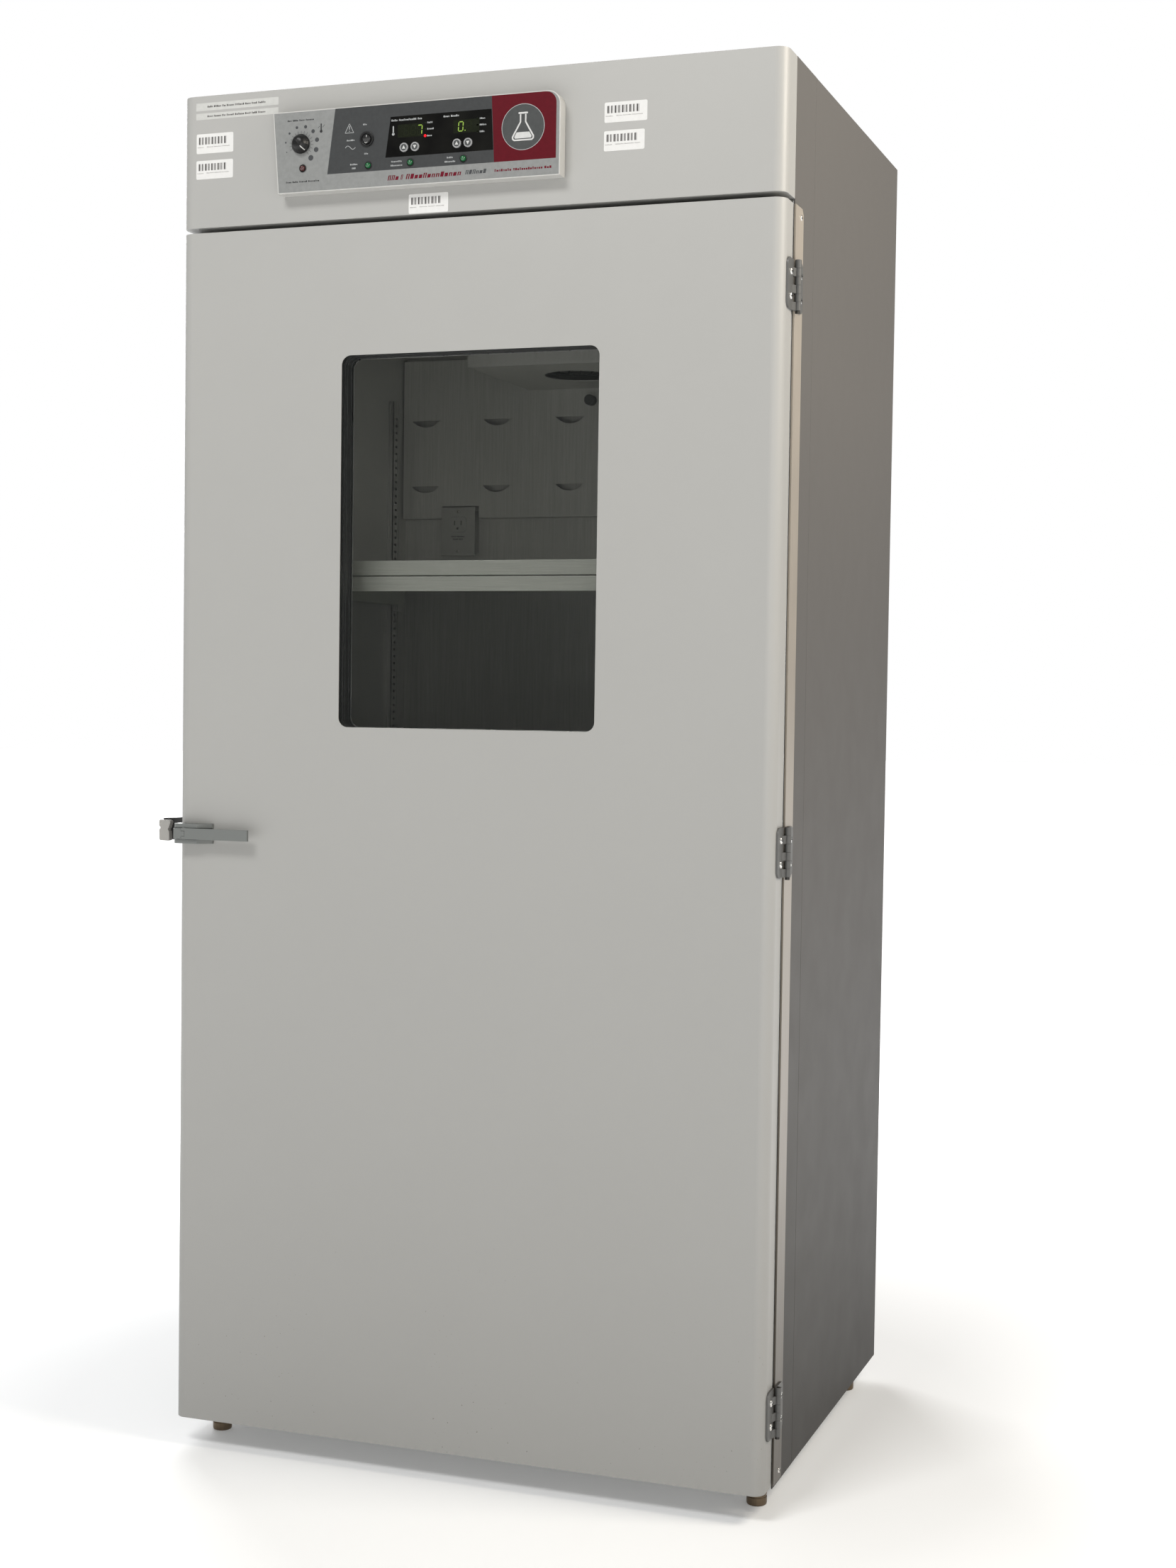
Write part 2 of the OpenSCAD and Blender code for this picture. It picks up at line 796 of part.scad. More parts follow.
module hinge_bar() {
    back = 98;
    cut = 8;
    color("silver") in_frame() difference() {
        translate([half_w + 0.05, 0, 0]) rotate([90, 0, 90]) linear_extrude(bar_t)
            polygon([[hinge_y + 0.8, door_z0], [back, door_z0], [back, door_z0 + door_h - cut],
                [back - cut, door_z0 + door_h], [hinge_y + 0.8, door_z0 + door_h]]);
        case_screw_holes(screw_r + 0.1);
    }
}

// Places of the screws through the door's leaves, and through the cabinet's leaves and bar
module door_screws_at() {
    for (z = hinge_lifts, dz = [-screw_dz, screw_dz])
        translate([half_w, door_screw_y, door_z0 + z + dz]) children();
}

module case_screws_at() {
    for (z = hinge_lifts, dz = [-screw_dz, screw_dz])
        translate([half_w, case_screw_y, door_z0 + z + dz]) children();
}

module bar_screws_at() {
    for (z = [door_z0 + 14, door_z0 + door_h - 14])
        translate([half_w, case_screw_y + 8, z]) children();
}

module door_screw_holes(r) {
    door_screws_at() rod_x([-5, 0, 0], r, 12);
}

module case_screw_holes(r) {
    case_screws_at() rod_x([-5, 0, 0], r, 14);
    bar_screws_at() rod_x([-5, 0, 0], r, 14);
}

// A pan-head screw along X whose head sits on a face at the stated height
module pan_screw(face, head_r, head_h, shank) {
    rod_x([face - shank, 0, 0], screw_r, shank + 0.5);
    translate([face + 0.1, 0, 0]) rotate([0, 90, 0]) rotate_extrude()
        polygon([[0, 0], [head_r, 0], [head_r, head_h * 0.35], [head_r * 0.86, head_h * 0.75],
            [head_r * 0.5, head_h], [0, head_h]]);
}

module screws_door() {
    color("silver") in_frame() {
        door_screws_at() pan_screw(leaf_t + 0.1, 5.2, 2.2, 7);
        for (x = latch_screw_xs) {
            rod_y([x, -4.8, latch_z], 3.4, 1.7);
            rod_y([x, -4.8, latch_z], 1.6, 8);
        }
    }
}

module screws_cabinet() {
    color("silver") in_frame() {
        case_screws_at() pan_screw(bar_t + leaf_t + 0.1, 5.2, 2.2, 9);
        bar_screws_at() pan_screw(bar_t + 0.1, 4.2, 1.8, 6.5);
    }
}

// ---- Door ----
module latch_screw_holes(r) {
    for (x = latch_screw_xs) rod_y([x, -6, latch_z], r, 12);
}

module door_skin() {
    color("gainsboro") in_frame() difference() {
        folded_box(body_w, door_d, edge_r, door_z0, door_z0 + door_h);
        window_cut(0, -2, sheet_t + 2);
        door_screw_holes(screw_r + 0.1);
        latch_screw_holes(1.7);
    }
}

module door_inner_panel() {
    inside = half_w - sheet_t - gap;
    color("silver") in_frame() difference() {
        block([-inside, door_d - 1.7, door_z0 + sheet_t + gap],
            [inside, door_d - 0.2, door_z0 + door_h - sheet_t - gap]);
        window_cut(0, door_d - 5, door_d + 5);
    }
}

module door_insulation() {
    inside = half_w - 14;
    color("wheat") in_frame() difference() {
        block([-inside, 5, door_z0 + 10], [inside, door_d - 2, door_z0 + door_h - 10]);
        window_cut(18, -5, door_d + 5);
    }
}

module pane(y, t) {
    color([0.6, 0.7, 0.7, 0.5]) in_frame() window_cut(12, y, y + t);
}

module outer_pane() {
    pane(sheet_t + 0.3, 4);
}

module inner_pane() {
    pane(door_d - 6.2, 4);
}

// Dark spacer frame that lines the reveal between the two panes
module window_frame() {
    color("dimgray") in_frame() difference() {
        window_cut(16, sheet_t + 4.5, door_d - 6.4);
        window_cut(0, 0, door_d);
    }
}

module door_gasket() {
    x = half_w - 29;
    z0 = door_z0 + 26;
    z1 = door_z0 + door_h - 26;
    color("lightgray") in_frame() difference() {
        block([-x, door_d, z0], [x, case_y - 0.4, z1]);
        block([-x + gasket_w, door_d - 1, z0 + gasket_w],
            [x - gasket_w, case_y + 1, z1 - gasket_w]);
    }
}

// ---- Latch on the door ----
module latch_base() {
    ear_z = lever_h / 2 + 0.5;
    color("gray") in_frame() translate([0, 0, latch_z]) difference() {
        union() {
            block([ear_left + 26, -3, -ear_z - ear_t], [ear_right, -0.1, ear_z + ear_t]);
            for (s = [0, 1]) mirror([0, 0, s]) plan_shape(ear_z, ear_z + ear_t)
                polygon([[ear_left, -0.1], [ear_left, -18], [ear_left + 3, -20.5],
                    [ear_left + 40, -20.5], [ear_right, -4], [ear_right, -0.1]]);
        }
        translate([latch_x, latch_y, -40]) cylinder(r = latch_pin_r + 0.02, h = 80);
        translate([0, 0, -latch_z]) latch_screw_holes(1.7);
    }
}

module latch_pin() {
    half = lever_h / 2 + 0.5 + ear_t;
    color("silver") in_frame() translate([latch_x, latch_y, latch_z - half])
        cylinder(r = latch_pin_r, h = 2 * half);
}

module latch_lever() {
    color("gray") in_frame() translate([0, 0, latch_z - lever_h / 2]) difference() {
        union() {
            block([claw_x, lever_front, 0], [claw_x + lever_l, lever_front + 5, lever_h]);
            translate([latch_x, latch_y, 0]) cylinder(r = 7, h = lever_h);
            block([latch_x - 5, lever_front + 1, 0], [latch_x + 5, latch_y, lever_h]);
        }
        translate([latch_x, latch_y, -1]) cylinder(r = latch_pin_r + 0.06, h = lever_h + 2);
        block([claw_x - 1, lever_front - 1, lever_h / 2 - 4.6],
            [claw_x + 6, lever_front + 4.8, lever_h / 2 + 4.6]);
    }
}

module latch_claw() {
    nose = -half_w + 5;
    color("gray") in_frame() translate([0, 0, latch_z]) {
        block([nose, lever_front, 0.2 - lever_h / 2], [claw_x - 0.3, -14, lever_h / 2 - 0.2]);
        block([claw_x - 1, lever_front, -4.4], [claw_x + 5.7, lever_front + 4.6, 4.4]);
    }
}

case_front_strips();
case_left_panel();
case_right_panel();
case_top_panel();
case_rear_panel();
base_pan();
opening_frame();
electronics_deck();
cabinet_insulation();
chamber_liner();
air_duct();
shelf_standards();
shelf_clips();
shelf_lower();
shelf_middle();
shelf_upper();
interior_outlet();
blower_housing();
blower_motor();
heating_element();
chamber_sensors();
water_pan();
control_board();
power_supply();
gas_valve();
gas_fitting();
power_inlet();
header_cover();
control_housing();
panel_overlay();
display_window();
panel_lamps();
switch_bezel();
strike_bracket();
strike_block();
hinge_bar();
hinge_leaves_cabinet();
hinge_pins();
screws_cabinet();
levelling_feet();
door_skin();
door_inner_panel();
door_insulation();
outer_pane();
inner_pane();
window_frame();
door_gasket();
hinge_leaves_door();
screws_door();
latch_base();
latch_pin();
latch_lever();
latch_claw();
safety_knob();
power_rocker();
temp_up_button();
temp_down_button();
gas_up_button();
gas_down_button();
blower_wheel();
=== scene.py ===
"""Looks of a laboratory incubator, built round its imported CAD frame.

Lengths here are in millimetres and are turned to metres by MM. Places are given by at(): x from the
cabinet's middle, y from the door's front face (negative is towards the viewer) and z from the floor.
"""
import json
import math
import random

import bmesh
import bpy
from mathutils import Matrix, Vector


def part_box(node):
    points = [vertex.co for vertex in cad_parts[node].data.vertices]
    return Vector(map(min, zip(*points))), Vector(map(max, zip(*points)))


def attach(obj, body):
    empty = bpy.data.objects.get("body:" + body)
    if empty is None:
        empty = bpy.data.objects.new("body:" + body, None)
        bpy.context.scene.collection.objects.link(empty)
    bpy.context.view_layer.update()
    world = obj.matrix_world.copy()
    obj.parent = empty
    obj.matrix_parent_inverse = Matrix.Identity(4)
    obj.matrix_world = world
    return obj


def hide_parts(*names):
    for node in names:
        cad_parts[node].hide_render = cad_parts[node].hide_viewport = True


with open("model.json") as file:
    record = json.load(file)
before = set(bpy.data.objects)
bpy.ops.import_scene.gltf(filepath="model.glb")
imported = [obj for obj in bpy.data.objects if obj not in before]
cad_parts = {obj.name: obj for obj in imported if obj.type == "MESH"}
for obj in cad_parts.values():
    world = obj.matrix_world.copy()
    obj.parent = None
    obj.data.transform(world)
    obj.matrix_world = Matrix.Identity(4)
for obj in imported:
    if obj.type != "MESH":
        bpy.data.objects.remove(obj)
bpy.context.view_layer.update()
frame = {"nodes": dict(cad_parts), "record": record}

MM = 0.001
scene = bpy.context.scene
NODES = frame["nodes"]
BODY_OF = {node: body for body, members in frame["record"]["behaviour"]["bodies"].items()
           for node in members}

# ---- Places read from the frame ----
skin_low, skin_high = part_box("door_skin")
MIDDLE = (skin_low.x + skin_high.x) / 2
FRONT = skin_low.y


def at(x, y, z):
    return Vector((MIDDLE + x * MM, FRONT + y * MM, z * MM))


def box_mm(node):
    """A node's low and high corners in the millimetres of at()."""
    corners = []
    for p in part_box(node):
        corners.append(Vector(((p.x - MIDDLE) / MM, (p.y - FRONT) / MM, p.z / MM)))
    return corners


def centre_of(node):
    """The x and z of the middle of a node's box."""
    low, high = box_mm(node)
    return (low.x + high.x) / 2, (low.z + high.z) / 2


HALF_W = box_mm("door_skin")[1].x
DOOR_Z0, DOOR_Z1 = box_mm("door_skin")[0].z, box_mm("door_skin")[1].z
PANEL_Z = box_mm("control_housing")[0].z
PANEL_FACE = box_mm("panel_overlay")[0].y
LENS_FACE = box_mm("display_window")[0].y
INK = 0.06


# ---- Meshes ----
def link(name, bm, look, body, bevel=0.0, sharp=None, replaces=()):
    """Makes a piece that rides on a body. Its edges are rounded by bevel, in millimetres, or its
    faces are smooth except at edges sharper than an angle in degrees."""
    mesh = finish_mesh(bm, name)
    mesh.materials.append(look.material)
    piece = bpy.data.objects.new(name, mesh)
    scene.collection.objects.link(piece)
    if sharp or bevel:
        mesh.shade_smooth()
    if sharp:
        mesh.set_sharp_from_angle(angle=math.radians(sharp))
    if bevel:
        round_edges(piece, bevel)
    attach(piece, body)
    if replaces:
        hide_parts(*replaces)
    return piece


def finish_mesh(bm, name):
    bmesh.ops.recalc_face_normals(bm, faces=bm.faces)
    mesh = bpy.data.meshes.new(name)
    bm.to_mesh(mesh)
    bm.free()
    return mesh


WELD_MM = 0.005
FLAT_DEGREES = 0.5
EDGE_DEGREES = 32


def round_edges(piece, width, weld=False):
    """Rounds a piece's edges by a width in millimetres. Weld joins a CAD mesh's faces first."""
    if weld:
        joined = piece.modifiers.new("weld", "WELD")
        joined.merge_threshold = WELD_MM * MM
        flat = piece.modifiers.new("flat", "DECIMATE")
        flat.decimate_type = "DISSOLVE"
        flat.angle_limit = math.radians(FLAT_DEGREES)
    bevel = piece.modifiers.new("bevel", "BEVEL")
    bevel.width = width * MM
    bevel.segments = 2
    bevel.limit_method = "ANGLE"
    bevel.angle_limit = math.radians(EDGE_DEGREES)
    bevel.use_clamp_overlap = True
    normals = piece.modifiers.new("normals", "WEIGHTED_NORMAL")
    normals.keep_sharp = True


def add_plate(bm, outline, back, front):
    """Adds an outline in x and z, carried from one depth to another."""
    rings = []
    for y in (front, back):
        rings.append([bm.verts.new(at(x, y, z)) for x, z in outline])
    bm.faces.new(rings[0])
    bm.faces.new(list(reversed(rings[1])))
    count = len(outline)
    for i in range(count):
        j = (i + 1) % count
        bm.faces.new((rings[0][i], rings[1][i], rings[1][j], rings[0][j]))


def add_box(bm, low, high):
    corners = [bm.verts.new(at(x, y, z)) for z in (low[2], high[2])
               for x, y in ((low[0], low[1]), (high[0], low[1]), (high[0], high[1]), (low[0], high[1]))]
    for face in ((3, 2, 1, 0), (4, 5, 6, 7), (0, 1, 5, 4), (1, 2, 6, 5), (2, 3, 7, 6), (3, 0, 4, 7)):
        bm.faces.new([corners[i] for i in face])


def add_lathe(bm, profile, centre, axis, steps):
    """Adds a solid of revolution. The profile holds radius and distance along the axis from the
    centre, and its ends lie on the axis."""
    turn = {"x": Matrix.Rotation(math.pi / 2, 4, "Y"), "y": Matrix.Rotation(-math.pi / 2, 4, "X"),
            "z": Matrix.Identity(4)}[axis]
    place = Matrix.Translation(at(*centre)) @ turn
    rings = []
    for radius, along in profile:
        if radius == 0:
            rings.append([bm.verts.new(place @ Vector((0, 0, along * MM)))])
            continue
        ring = []
        for i in range(steps):
            a = 2 * math.pi * i / steps
            spot = Vector((radius * math.cos(a), radius * math.sin(a), along)) * MM
            ring.append(bm.verts.new(place @ spot))
        rings.append(ring)
    for lower, upper in zip(rings, rings[1:]):
        for i in range(steps):
            j = (i + 1) % steps
            corners = [lower[i % len(lower)], lower[j % len(lower)], upper[j % len(upper)],
                       upper[i % len(upper)]]
            unique = list(dict.fromkeys(corners))
            if len(unique) > 2:
                bm.faces.new(unique)


def rounded(x0, z0, x1, z1, r, steps=5):
    """A rectangle's outline with round corners."""
    points = []
    corners = ((x1 - r, z1 - r, 0), (x0 + r, z1 - r, 90), (x0 + r, z0 + r, 180), (x1 - r, z0 + r, 270))
    for cx, cz, start in corners:
        for i in range(steps + 1):
            a = math.radians(start + 90 * i / steps)
            points.append((cx + r * math.cos(a), cz + r * math.sin(a)))
    return points


def disc(x, z, r, steps=24):
    return [(x + r * math.cos(2 * math.pi * i / steps), z + r * math.sin(2 * math.pi * i / steps))
            for i in range(steps)]


def stroke(points, width):
    """Outlines of a thin line through points, one for each stretch."""
    outlines = []
    for (x0, z0), (x1, z1) in zip(points, points[1:]):
        length = math.hypot(x1 - x0, z1 - z0)
        nx, nz = (z0 - z1) / length * width / 2, (x1 - x0) / length * width / 2
        outlines.append([(x0 - nx, z0 - nz), (x1 - nx, z1 - nz), (x1 + nx, z1 + nz), (x0 + nx, z0 + nz)])
    return outlines


def plates(name, outlines, back, front, look, body, slot=None, bevel=0.0, replaces=()):
    """One piece of several flat plates, which lie between two depths."""
    bm = bmesh.new()
    for outline in outlines:
        add_plate(bm, outline, back, front)
    return link(name, bm, look, body, bevel, replaces=replaces)


def lathed(name, parts, look, body, replaces=(), steps=48):
    """One piece of several turned solids, each given as profile, centre and axis."""
    bm = bmesh.new()
    for profile, centre, axis in parts:
        add_lathe(bm, profile, centre, axis, steps)
    return link(name, bm, look, body, sharp=35, replaces=replaces)


# ---- Materials ----
# Heights in metres over which the painted shade near the floor gives way to full colour
FLOOR_SHADE_LOW, FLOOR_SHADE_HIGH = 0.1, 1.7


class Look:
    """A Principled material with helpers that add procedural detail."""

    def __init__(self, name, color, roughness=0.5, metallic=0.0):
        self.material = bpy.data.materials.new(name)
        self.material.use_nodes = True
        self.tree = self.material.node_tree
        self.shader = self.tree.nodes["Principled BSDF"]
        self.set("Base Color", (*color, 1))
        self.set("Roughness", roughness)
        self.set("Metallic", metallic)

    def set(self, socket, value):
        self.shader.inputs[socket].default_value = value
        return self

    def node(self, kind, **values):
        made = self.tree.nodes.new(kind)
        for key, value in values.items():
            setattr(made, key, value)
        return made

    def join(self, a, b):
        self.tree.links.new(a, b)

    def noise(self, scale, detail=3.0, stretch=(1, 1, 1)):
        """Noise over the object's own coordinates, with features of 1/scale metres."""
        place = self.node("ShaderNodeTexCoord")
        mapping = self.node("ShaderNodeMapping")
        mapping.inputs["Scale"].default_value = [scale * s for s in stretch]
        noise = self.node("ShaderNodeTexNoise")
        noise.inputs["Scale"].default_value = 1.0
        noise.inputs["Detail"].default_value = detail
        self.join(place.outputs["Object"], mapping.inputs["Vector"])
        self.join(mapping.outputs["Vector"], noise.inputs["Vector"])
        return noise.outputs["Fac"]

    def spread(self, value, low, high, start=0.3, end=0.7):
        """Maps a value from one range to another."""
        ranged = self.node("ShaderNodeMapRange")
        for key, number in (("From Min", start), ("From Max", end), ("To Min", low), ("To Max", high)):
            ranged.inputs[key].default_value = number
        self.join(value, ranged.inputs["Value"])
        return ranged.outputs["Result"]

    def tint(self, value, dark, light, start=0.3, end=0.7):
        """Colours the surface from dark to light as a value rises."""
        ramp = self.node("ShaderNodeValToRGB")
        ramp.color_ramp.elements[0].position = start
        ramp.color_ramp.elements[0].color = (*dark, 1)
        ramp.color_ramp.elements[1].position = end
        ramp.color_ramp.elements[1].color = (*light, 1)
        self.join(value, ramp.inputs["Fac"])
        self.join(ramp.outputs["Color"], self.shader.inputs["Base Color"])
        return ramp.outputs["Color"]

    def rough(self, value, low, high):
        self.join(self.spread(value, low, high), self.shader.inputs["Roughness"])
        return self

    def bump(self, value, depth_mm, strength=1.0):
        bump = self.node("ShaderNodeBump")
        bump.inputs["Strength"].default_value = strength
        bump.inputs["Distance"].default_value = depth_mm * MM
        self.join(value, bump.inputs["Height"])
        self.join(bump.outputs["Normal"], self.shader.inputs["Normal"])
        return self

    def height(self):
        """Height above the floor of the point, in metres."""
        place = self.node("ShaderNodeTexCoord")
        split = self.node("ShaderNodeSeparateXYZ")
        self.join(place.outputs["Object"], split.inputs["Vector"])
        return split.outputs["Z"]

    def shade_towards_floor(self, color, factor):
        """Multiplies a colour by a factor near the floor, and by 1 higher up. This darkening is painted
        shade.
        """
        mix = self.node("ShaderNodeMix", data_type="RGBA", blend_type="MULTIPLY")
        mix.inputs["Factor"].default_value = 1.0
        self.join(color, mix.inputs["A"])
        self.join(self.spread(self.height(), factor, 1.0, FLOOR_SHADE_LOW, FLOOR_SHADE_HIGH), mix.inputs["B"])
        return mix.outputs["Result"]

    def product(self, a, b):
        times = self.node("ShaderNodeMath", operation="MULTIPLY")
        self.join(a, times.inputs[0])
        self.join(b, times.inputs[1])
        return times.outputs[0]


def shade(color, factor):
    return tuple(c * factor for c in color)


def enamel(name, color, grime, roughness=(0.4, 0.45), floor_shade=1.0):
    """Sprayed enamel: fine orange peel, faint cloudy variation, and specks near the floor. A factor below 1
    darkens the paint towards the floor, and this darkening is painted shade."""
    look = Look(name, color)
    base = look.tint(look.noise(1.7, detail=4), shade(color, 0.978), color)
    specks = look.spread(look.noise(260, detail=1), 0, 1, 0.735, 0.76)
    patches = look.spread(look.noise(9, detail=2), 0, 1, 0.5, 0.62)
    low_down = look.spread(look.height(), 0.85, 0, 0.08, 0.42)
    marks = look.product(look.product(specks, patches), low_down)
    mix = look.node("ShaderNodeMix", data_type="RGBA")
    look.join(marks, mix.inputs["Factor"])
    look.join(base, mix.inputs["A"])
    mix.inputs["B"].default_value = (*grime, 1)
    # Painted shade: the paint is darkened towards the floor
    look.join(look.shade_towards_floor(mix.outputs["Result"], floor_shade), look.shader.inputs["Base Color"])
    look.rough(look.noise(14, detail=3), *roughness)
    look.bump(look.noise(620, detail=1.5), 0.035, 0.55)
    return look


def brushed(name, color, roughness=(0.24, 0.4), along="z", grain=900, floor_shade=None):
    """Metal with a fine grain along one axis, which may be darkened towards the floor by a factor as
    painted shade.
    """
    stretch = {"x": (0.012, 1, 1), "y": (1, 0.012, 1), "z": (1, 1, 0.012)}[along]
    look = Look(name, color, metallic=1.0)
    streaks = look.noise(grain, detail=2, stretch=stretch)
    tone = look.tint(streaks, shade(color, 0.82), color)
    # Painted shade: the metal is darker towards the floor
    if floor_shade:
        look.join(look.shade_towards_floor(tone, floor_shade), look.shader.inputs["Base Color"])
    look.rough(streaks, *roughness)
    look.bump(streaks, 0.012, 0.5)
    return look


def moulded(name, color, roughness=0.42, grain=1500, depth=0.02):
    """Moulded plastic with a fine texture and a little variation."""
    look = Look(name, color)
    look.tint(look.noise(35, detail=3), shade(color, 0.93), color)
    fine = look.noise(grain, detail=1)
    look.rough(fine, roughness - 0.05, roughness + 0.07)
    look.bump(fine, depth, 0.5)
    return look


def printed(name, color, roughness=0.5, wear=0.9):
    """Printed film or ink, with slight mottling."""
    look = Look(name, color).set("Specular IOR Level", 0.1)
    look.tint(look.noise(180, detail=2), shade(color, wear), color)
    look.rough(look.noise(60, detail=2), roughness - 0.06, roughness + 0.06)
    return look


def glowing(name, color, strength, base=(0.02, 0.02, 0.02)):
    """A lit segment or lamp."""
    look = Look(name, base, roughness=0.3)
    look.tint(look.noise(900, detail=1), shade(base, 0.7), base)
    look.set("Emission Color", (*color, 1)).set("Emission Strength", strength)
    return look


def foam(name, color):
    look = Look(name, color, roughness=0.9)
    look.tint(look.noise(260, detail=4), shade(color, 0.75), color)
    look.bump(look.noise(420, detail=3), 0.6, 0.7)
    return look


def soft_rubber(name, color):
    look = Look(name, color, roughness=0.7)
    look.tint(look.noise(40, detail=4), shade(color, 0.8), color)
    look.bump(look.noise(900, detail=2), 0.03, 0.6)
    return look


def laminate_board(name):
    """Green circuit board with lighter tracks."""
    look = Look(name, (0.02, 0.12, 0.05), roughness=0.4)
    bricks = look.node("ShaderNodeTexBrick")
    place = look.node("ShaderNodeTexCoord")
    turn = look.node("ShaderNodeMapping")
    turn.inputs["Rotation"].default_value = (math.pi / 2, 0, 0)
    look.join(place.outputs["Object"], turn.inputs["Vector"])
    look.join(turn.outputs["Vector"], bricks.inputs["Vector"])
    bricks.inputs["Scale"].default_value = 60
    bricks.inputs["Mortar Size"].default_value = 0.012
    bricks.inputs["Color1"].default_value = (0.018, 0.11, 0.045, 1)
    bricks.inputs["Color2"].default_value = (0.022, 0.13, 0.055, 1)
    bricks.inputs["Mortar"].default_value = (0.06, 0.26, 0.1, 1)
    look.join(bricks.outputs["Color"], look.shader.inputs["Base Color"])
    return look


def clear_pane(name):
    """Lightly smoked glass with faint wipe marks."""
    look = Look(name, (0.012, 0.014, 0.013), roughness=0.04)
    look.set("Alpha", 0.13).set("IOR", 1.5).set("Coat Weight", 0.4).set("Coat Roughness", 0.03)
    wipes = look.noise(6, detail=3, stretch=(1, 1, 0.35))
    look.rough(wipes, 0.03, 0.12)
    return look


FRONT_PAINT = (0.335, 0.332, 0.318)
SIDE_PAINT = (0.112, 0.106, 0.099)
GRIME = (0.09, 0.08, 0.065)

# Both paints are darkened towards the floor, the side paint much more: painted shade
front_paint = enamel("front_paint", FRONT_PAINT, GRIME, floor_shade=0.93)
side_paint = enamel("side_paint", SIDE_PAINT, GRIME, roughness=(0.5, 0.54), floor_shade=0.4)
side_paint.set("Specular IOR Level", 0.2)
stainless = brushed("stainless", (0.56, 0.56, 0.54))
liner_steel = brushed("liner_steel", (0.58, 0.58, 0.55), roughness=(0.36, 0.5)).set("Metallic", 0.4)
shelf_steel = brushed("shelf_steel", (0.58, 0.6, 0.53), roughness=(0.32, 0.46), along="x")
shelf_steel.set("Metallic", 0.3)
# The bar is stainless steel. Its warm tan tint is painted warm light, and it is darkened towards the floor
# as painted shade.
bar_steel = brushed("bar_steel", (0.52, 0.46, 0.385), roughness=(0.3, 0.42), floor_shade=0.2)
bar_steel.set("Metallic", 0.45)
screw_steel = brushed("screw_steel", (0.74, 0.73, 0.70), roughness=(0.16, 0.3), grain=1400)
dark_steel = brushed("dark_steel", (0.07, 0.068, 0.064), roughness=(0.4, 0.6))
hinge_paint = enamel("hinge_paint", (0.092, 0.092, 0.089), (0.2, 0.2, 0.19), roughness=(0.36, 0.5))
latch_paint = enamel("latch_paint", (0.135, 0.143, 0.137), (0.3, 0.3, 0.28), roughness=(0.32, 0.46))
strike_paint = enamel("strike_paint", (0.3, 0.292, 0.275), (0.15, 0.15, 0.14), roughness=(0.4, 0.55))
bracket_black = enamel("bracket_black", (0.018, 0.018, 0.018), (0.1, 0.1, 0.1), roughness=(0.45, 0.6))
foam_look = foam("rigid_foam", (0.72, 0.6, 0.36))
foot_look = brushed("foot_metal", (0.19, 0.145, 0.1), roughness=(0.34, 0.5), grain=500)
gasket_look = soft_rubber("gasket_rubber", (0.11, 0.11, 0.108))
glass_look = clear_pane("pane_glass")
trim_look = moulded("reveal_trim", (0.018, 0.019, 0.019), roughness=0.42)
black_look = moulded("black_plastic", (0.007, 0.007, 0.007), roughness=0.33)
black_look.set("Specular IOR Level", 0.32)
housing_look = moulded("housing_plastic", (0.47, 0.465, 0.445), roughness=0.38)
film_light = printed("film_light", (0.215, 0.22, 0.215))
film_dark = printed("film_dark", (0.045, 0.047, 0.048))
film_maroon = printed("film_maroon", (0.085, 0.003, 0.008))
film_disc = printed("film_disc", (0.06, 0.063, 0.063))
ink_dark = printed("ink_dark", (0.03, 0.03, 0.031))
ink_grey = printed("ink_grey", (0.055, 0.057, 0.06))
ink_pale = printed("ink_pale", (0.33, 0.34, 0.34))
ink_white = printed("ink_white", (0.5, 0.5, 0.49))
ink_maroon = printed("ink_maroon", (0.115, 0.006, 0.016))
label_paper = printed("label_paper", (0.62, 0.615, 0.6), wear=0.96)
tape_paper = printed("tape_paper", (0.47, 0.47, 0.45), wear=0.94)
label_ink = printed("label_ink", (0.075, 0.07, 0.068))
label_grey = printed("label_grey", (0.3, 0.29, 0.28))
lens_black = Look("lens_black", (0.006, 0.006, 0.006), roughness=0.12).set("Specular IOR Level", 0.08)
lens_black.tint(lens_black.noise(25, detail=3), (0.004, 0.004, 0.004), (0.009, 0.009, 0.008))
lens_black.rough(lens_black.noise(30, detail=2), 0.04, 0.09)
module_look = printed("display_module", (0.009, 0.011, 0.006), roughness=0.25)
digit_lit = glowing("digit_lit", (0.38, 0.62, 0.06), 0.85)
digit_dim = printed("digit_dim", (0.011, 0.014, 0.006), roughness=0.3)
led_red = glowing("led_red", (1.0, 0.0, 0.01), 1.3, (0.25, 0.0, 0.0))
lamp_green = glowing("lamp_green", (0.0, 0.3, 0.06), 0.16, (0.0, 0.055, 0.016)).set("Coat Weight", 0.6)
lamp_red = glowing("lamp_red", (0.2, 0.0, 0.0), 0.03, (0.045, 0.002, 0.002)).set("Coat Weight", 0.6)
key_look = moulded("key_grey", (0.26, 0.26, 0.262), roughness=0.45)
board_look = laminate_board("circuit_board")
supply_look = brushed("supply_metal", (0.42, 0.42, 0.43), roughness=(0.3, 0.45), along="x")
brass_look = brushed("machined_brass", (0.62, 0.42, 0.15), roughness=(0.2, 0.35))
outlet_look = moulded("outlet_plastic", (0.33, 0.33, 0.31), roughness=0.3)
heater_look = brushed("heater_sheath", (0.16, 0.12, 0.095), roughness=(0.35, 0.55))
sensor_look = moulded("sensor_grey", (0.05, 0.05, 0.052), roughness=0.5)
# Near-black plates that paint the shade inside screw recesses, which are not cut
recess_shade = printed("recess_shade", (0.01, 0.01, 0.01), roughness=0.8)

